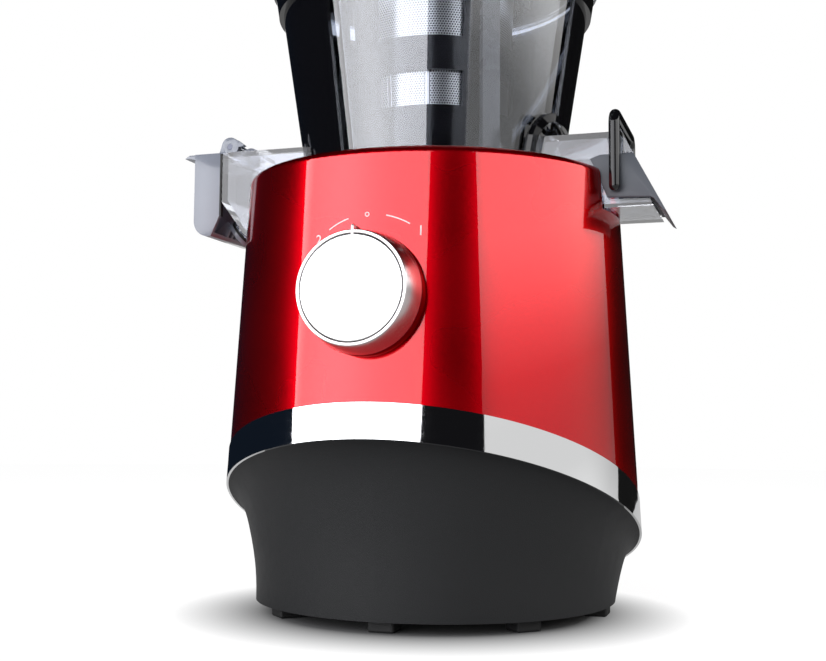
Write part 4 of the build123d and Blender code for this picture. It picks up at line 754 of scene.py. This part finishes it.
def make_arc(name, start, end, radius, width, centre=Vector((0.0, 0.0, 0.0))):
    """A ring or part of one, from one angle to another."""
    select_none()
    bpy.ops.mesh.primitive_circle_add(vertices=ARC_SIDES, radius=radius + width / 2, fill_type="NGON")
    ring = added()
    edit_all()
    bpy.ops.mesh.inset(thickness=width)
    bpy.ops.mesh.delete(type="FACE")
    object_mode()
    if end - start < 360:
        toward = round_dial((start + end) / 2).normalized()
        reach = cos(radians((end - start) / 2))
        edit_faces(ring, lambda face: face.calc_center_median().normalized().dot(toward) < reach)
        bpy.ops.mesh.delete(type="FACE")
        object_mode()
    put(ring, Matrix.Translation(centre))
    print_on_body(ring, name)


def make_digit(name, text, angle):
    select_none()
    bpy.ops.object.text_add()
    digit = added()
    digit.data.body = text
    digit.data.size = DIGIT_H
    digit.data.align_x = "CENTER"
    digit.data.align_y = "CENTER"
    bpy.ops.object.convert(target="MESH")
    digit = added()
    put(digit, Matrix.Translation(round_dial(angle)))
    print_on_body(digit, name)


make_arc("mark_arc_left", -33.3, -15.9, MARK_R, ARC_W)
make_arc("mark_arc_right", 11.3, 30.3, MARK_R, ARC_W)
make_arc("mark_off", 0.0, 360.0, RING_R, RING_W, round_dial(RING_AT))
make_digit("mark_two", "2", -44.0)
make_digit("mark_one", "1", 39.0)

# ---------------------------------------------------------------- softened copies of moulded pieces
SAME_CORNER = 0.001 * MM
FLAT_WITHIN = radians(1.0)
CAP_EDGE = 0.35 * MM
GATE_EDGE = 0.3 * MM


def rounded_copy(node, width):
    """Replace a moulded piece by a copy with merged corners and rounded edges."""
    source = nodes[node]
    copy = source.copy()
    copy.data = source.data.copy()
    scene.collection.objects.link(copy)
    copy.parent = None
    copy.matrix_world = source.matrix_world.copy()
    select_only(copy)
    bpy.ops.object.transform_apply(location=True, rotation=True, scale=True)
    edit_all()
    bpy.ops.mesh.remove_doubles(threshold=SAME_CORNER)
    bpy.ops.mesh.dissolve_limited(angle_limit=FLAT_WITHIN)
    object_mode()
    soften(copy, width)
    settle(copy, node + "_rounded", source.data.materials[0], body_of(source)[0])
    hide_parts(node)


rounded_copy("juice_cap", CAP_EDGE)
rounded_copy("pulp_gate", GATE_EDGE)

# ---------------------------------------------------------------- studio screens
SCREEN_R = 1.4
SCREEN_TOP_Z = 0.9
SCREEN_STEPS = 40
SCREEN_ROWS = 12
GAP_R = 1.5                     # dark gaps between the screens
GAP_LOW_Z = -0.2
CEILING_R = 1.6
CEILING_Z = 0.95

# edges of the screens at foot and top, in degrees from the camera towards its right
LEFT_SCREEN = ((-78.2, -82.4), (-8.0, 0.0))
RIGHT_SCREEN = ((28.0, 23.0), (116.0, 121.4))
LEFT_POWER = 2.95
LEFT_TINT = (0.98, 0.985, 1.02)
RIGHT_POWER = 2.7

# how their brightness changes, by the same angles and by height
LEFT_MIDDLE = -52
LEFT_MIDDLE_W = 20
LEFT_MIDDLE_GAIN = 0.4
LEFT_EDGE = (-80, -74)
LEFT_EDGE_GAIN = 0.7
RIGHT_LEAST = 0.25
RIGHT_RISE = (0.27, 0.57)
RIGHT_RISE_GAIN = 0.75
RIGHT_FOOT = (0.0, 0.15)
RIGHT_FOOT_GAIN = 0.1
RIGHT_END = (85, 122)
RIGHT_END_LOSS = 0.4


def glowing(name, strength, color=(1, 1, 1)):
    """Plain light from the screen's own glow attribute."""
    made = bpy.data.materials.new(name)
    made.use_nodes = True
    tree = made.node_tree
    tree.nodes.clear()
    emission = tree.nodes.new("ShaderNodeEmission")
    emission.inputs["Color"].default_value = (*color, 1.0)
    glow = tree.nodes.new("ShaderNodeAttribute")
    glow.attribute_name = "glow"
    join(tree, math_node(tree, "MULTIPLY", glow.outputs["Fac"], strength), emission.inputs["Strength"])
    output = tree.nodes.new("ShaderNodeOutputMaterial")
    join(tree, emission.outputs[0], output.inputs["Surface"])
    return made


def even(angle, z):
    return 1.0


def card(name, left, right, radius, low, high, strength, color=(1, 1, 1), level=even, diffuse=True):
    """An upright curved screen round the object. left and right hold its edges' angles at foot and top."""
    verts, levels = [], []
    for i in range(SCREEN_STEPS + 1):
        for j in range(SCREEN_ROWS + 1):
            up = j / SCREEN_ROWS
            start = left[0] + (left[1] - left[0]) * up
            end = right[0] + (right[1] - right[0]) * up
            angle = start + (end - start) * i / SCREEN_STEPS
            around = VIEW_AZIMUTH + radians(angle)
            z = low + (high - low) * up
            verts.append((radius * sin(around), -radius * cos(around), z))
            levels.append(level(angle, z))
    column = SCREEN_ROWS + 1
    quads = [
        (i * column + j, (i + 1) * column + j, (i + 1) * column + j + 1, i * column + j + 1)
        for i in range(SCREEN_STEPS) for j in range(SCREEN_ROWS)]
    mesh = bpy.data.meshes.new(name)
    mesh.from_pydata(verts, [], quads)
    glow = mesh.attributes.new("glow", "FLOAT", "POINT")
    for spot, value in zip(glow.data, levels):
        spot.value = value
    mesh.materials.append(glowing(name, strength, color))
    screen = bpy.data.objects.new(name, mesh)
    scene.collection.objects.link(screen)
    screen.visible_camera = False
    screen.visible_shadow = False
    screen.visible_diffuse = diffuse


def smooth(value, low, high):
    """0 below low, 1 above high, eased between."""
    share = min(max((value - low) / (high - low), 0.0), 1.0)
    return share * share * (3 - 2 * share)


def left_level(angle, z):
    """The left screen is brightest in its middle and along its far edge."""
    middle = exp(-((angle - LEFT_MIDDLE) / LEFT_MIDDLE_W) ** 2)
    far_edge = 1 - smooth(angle, *LEFT_EDGE)
    return 1.0 + LEFT_MIDDLE_GAIN * middle + LEFT_EDGE_GAIN * far_edge


def right_level(angle, z):
    """The right screen is lit from above and falls off towards its far end."""
    above = smooth(z, *RIGHT_RISE)
    foot = 1 - smooth(z, *RIGHT_FOOT)
    far_end = smooth(angle, *RIGHT_END)
    upright = RIGHT_LEAST + RIGHT_RISE_GAIN * above + RIGHT_FOOT_GAIN * foot
    return upright * (1 - RIGHT_END_LOSS * far_end)


card("softbox_left", *LEFT_SCREEN, SCREEN_R, 0.0, SCREEN_TOP_Z, LEFT_POWER, LEFT_TINT, left_level)
card("softbox_right", *RIGHT_SCREEN, SCREEN_R, 0.0, SCREEN_TOP_Z, RIGHT_POWER, level=right_level)
for name, start, end, color in (
        ("gap_front", -10, 34, (0.006, 0.006, 0.007)),
        ("gap_left", -165, -76, (0.005, 0.008, 0.014)),
        ("gap_right", 114, 175, (0.008, 0.008, 0.008))):
    card(name, (start, start), (end, end), GAP_R, GAP_LOW_Z, CEILING_Z, 1.0, color, diffuse=False)


def make_ceiling():
    """Dark ceiling, seen only in mirrored surfaces."""
    select_none()
    bpy.ops.mesh.primitive_circle_add(
        vertices=64, radius=CEILING_R, fill_type="NGON", location=(0, 0, CEILING_Z))
    ceiling = added()
    ceiling.name = "dark_ceiling"
    ceiling.data.materials.append(glowing("dark_ceiling", 0.0))
    ceiling.visible_camera = False
    ceiling.visible_diffuse = False
    ceiling.visible_transmission = False
    ceiling.visible_shadow = False


# ---------------------------------------------------------------- floor and world
FLOOR_R = 2.5
FLOOR_GREY = 0.25
FLOOR_ROUGHNESS = 0.7
FLOOR_GLOW = 0.86               # added where the floor is looked at
# painted shadow: within the next distance the floor gets none of that glow, and the glow fades in up to the
# one after, so a dark patch is painted round the object's foot
PAINTED_SHADOW_CORE = 0.075               # distance from the drive axis where that glow starts
PAINTED_SHADOW_EDGE = 0.122
FLOOR_IN_GLOSS = 0.45
ROOM_LIGHT = 0.5
BACKDROP_WHITE = 1.0


def looked_at(tree, in_gloss=1.0):
    """1 where the eye or clear plastic looks at the surface, in_gloss where a gloss mirrors it, else 0."""
    path = tree.nodes.new("ShaderNodeLightPath").outputs
    mirrored = math_node(tree, "MULTIPLY", path["Is Glossy Ray"], in_gloss)
    not_direct = math_node(tree, "MAXIMUM", mirrored, path["Is Transmission Ray"])
    return math_node(tree, "MAXIMUM", path["Is Camera Ray"], not_direct)


def make_floor():
    """Pale floor that keeps the object's shadow, with a painted shadow round its foot where the added glow
    is left out.
    """
    select_none()
    bpy.ops.mesh.primitive_circle_add(vertices=96, radius=FLOOR_R, fill_type="NGON")
    floor = added()
    floor.name = "studio_floor"
    made = bpy.data.materials.new("pale_floor")
    made.use_nodes = True
    tree = made.node_tree
    shader = tree.nodes["Principled BSDF"]
    shader.inputs["Base Color"].default_value = (FLOOR_GREY, FLOOR_GREY, FLOOR_GREY, 1.0)
    shader.inputs["Roughness"].default_value = FLOOR_ROUGHNESS
    shader.inputs["Specular IOR Level"].default_value = 0.0
    away = tree.nodes.new("ShaderNodeVectorMath")
    away.operation = "LENGTH"
    join(tree, object_place(tree), away.inputs[0])
    # painted shadow: the glow is left out near the drive axis and fades in further out
    glow_round_painted_shadow = spread(tree, away.outputs["Value"], PAINTED_SHADOW_CORE, PAINTED_SHADOW_EDGE, 0.0, FLOOR_GLOW)
    glow = tree.nodes.new("ShaderNodeEmission")
    seen = looked_at(tree, FLOOR_IN_GLOSS)
    join(tree, math_node(tree, "MULTIPLY", seen, glow_round_painted_shadow), glow.inputs["Strength"])
    both = tree.nodes.new("ShaderNodeAddShader")
    join(tree, shader.outputs[0], both.inputs[0])
    join(tree, glow.outputs[0], both.inputs[1])
    join(tree, both.outputs[0], tree.nodes["Material Output"].inputs["Surface"])
    floor.data.materials.append(made)


def make_world():
    """White where it is looked at, and a soft room light on the object."""
    world = bpy.data.worlds.new("studio_world")
    scene.world = world
    world.use_nodes = True
    tree = world.node_tree
    room = tree.nodes["Background"]
    white = tree.nodes.new("ShaderNodeBackground")
    for light, strength in ((room, ROOM_LIGHT), (white, BACKDROP_WHITE)):
        light.inputs["Color"].default_value = (1, 1, 1, 1)
        light.inputs["Strength"].default_value = strength
    mix = tree.nodes.new("ShaderNodeMixShader")
    join(tree, looked_at(tree), mix.inputs[0])
    join(tree, room.outputs[0], mix.inputs[1])
    join(tree, white.outputs[0], mix.inputs[2])
    join(tree, mix.outputs[0], tree.nodes["World Output"].inputs["Surface"])


make_ceiling()
make_floor()
make_world()
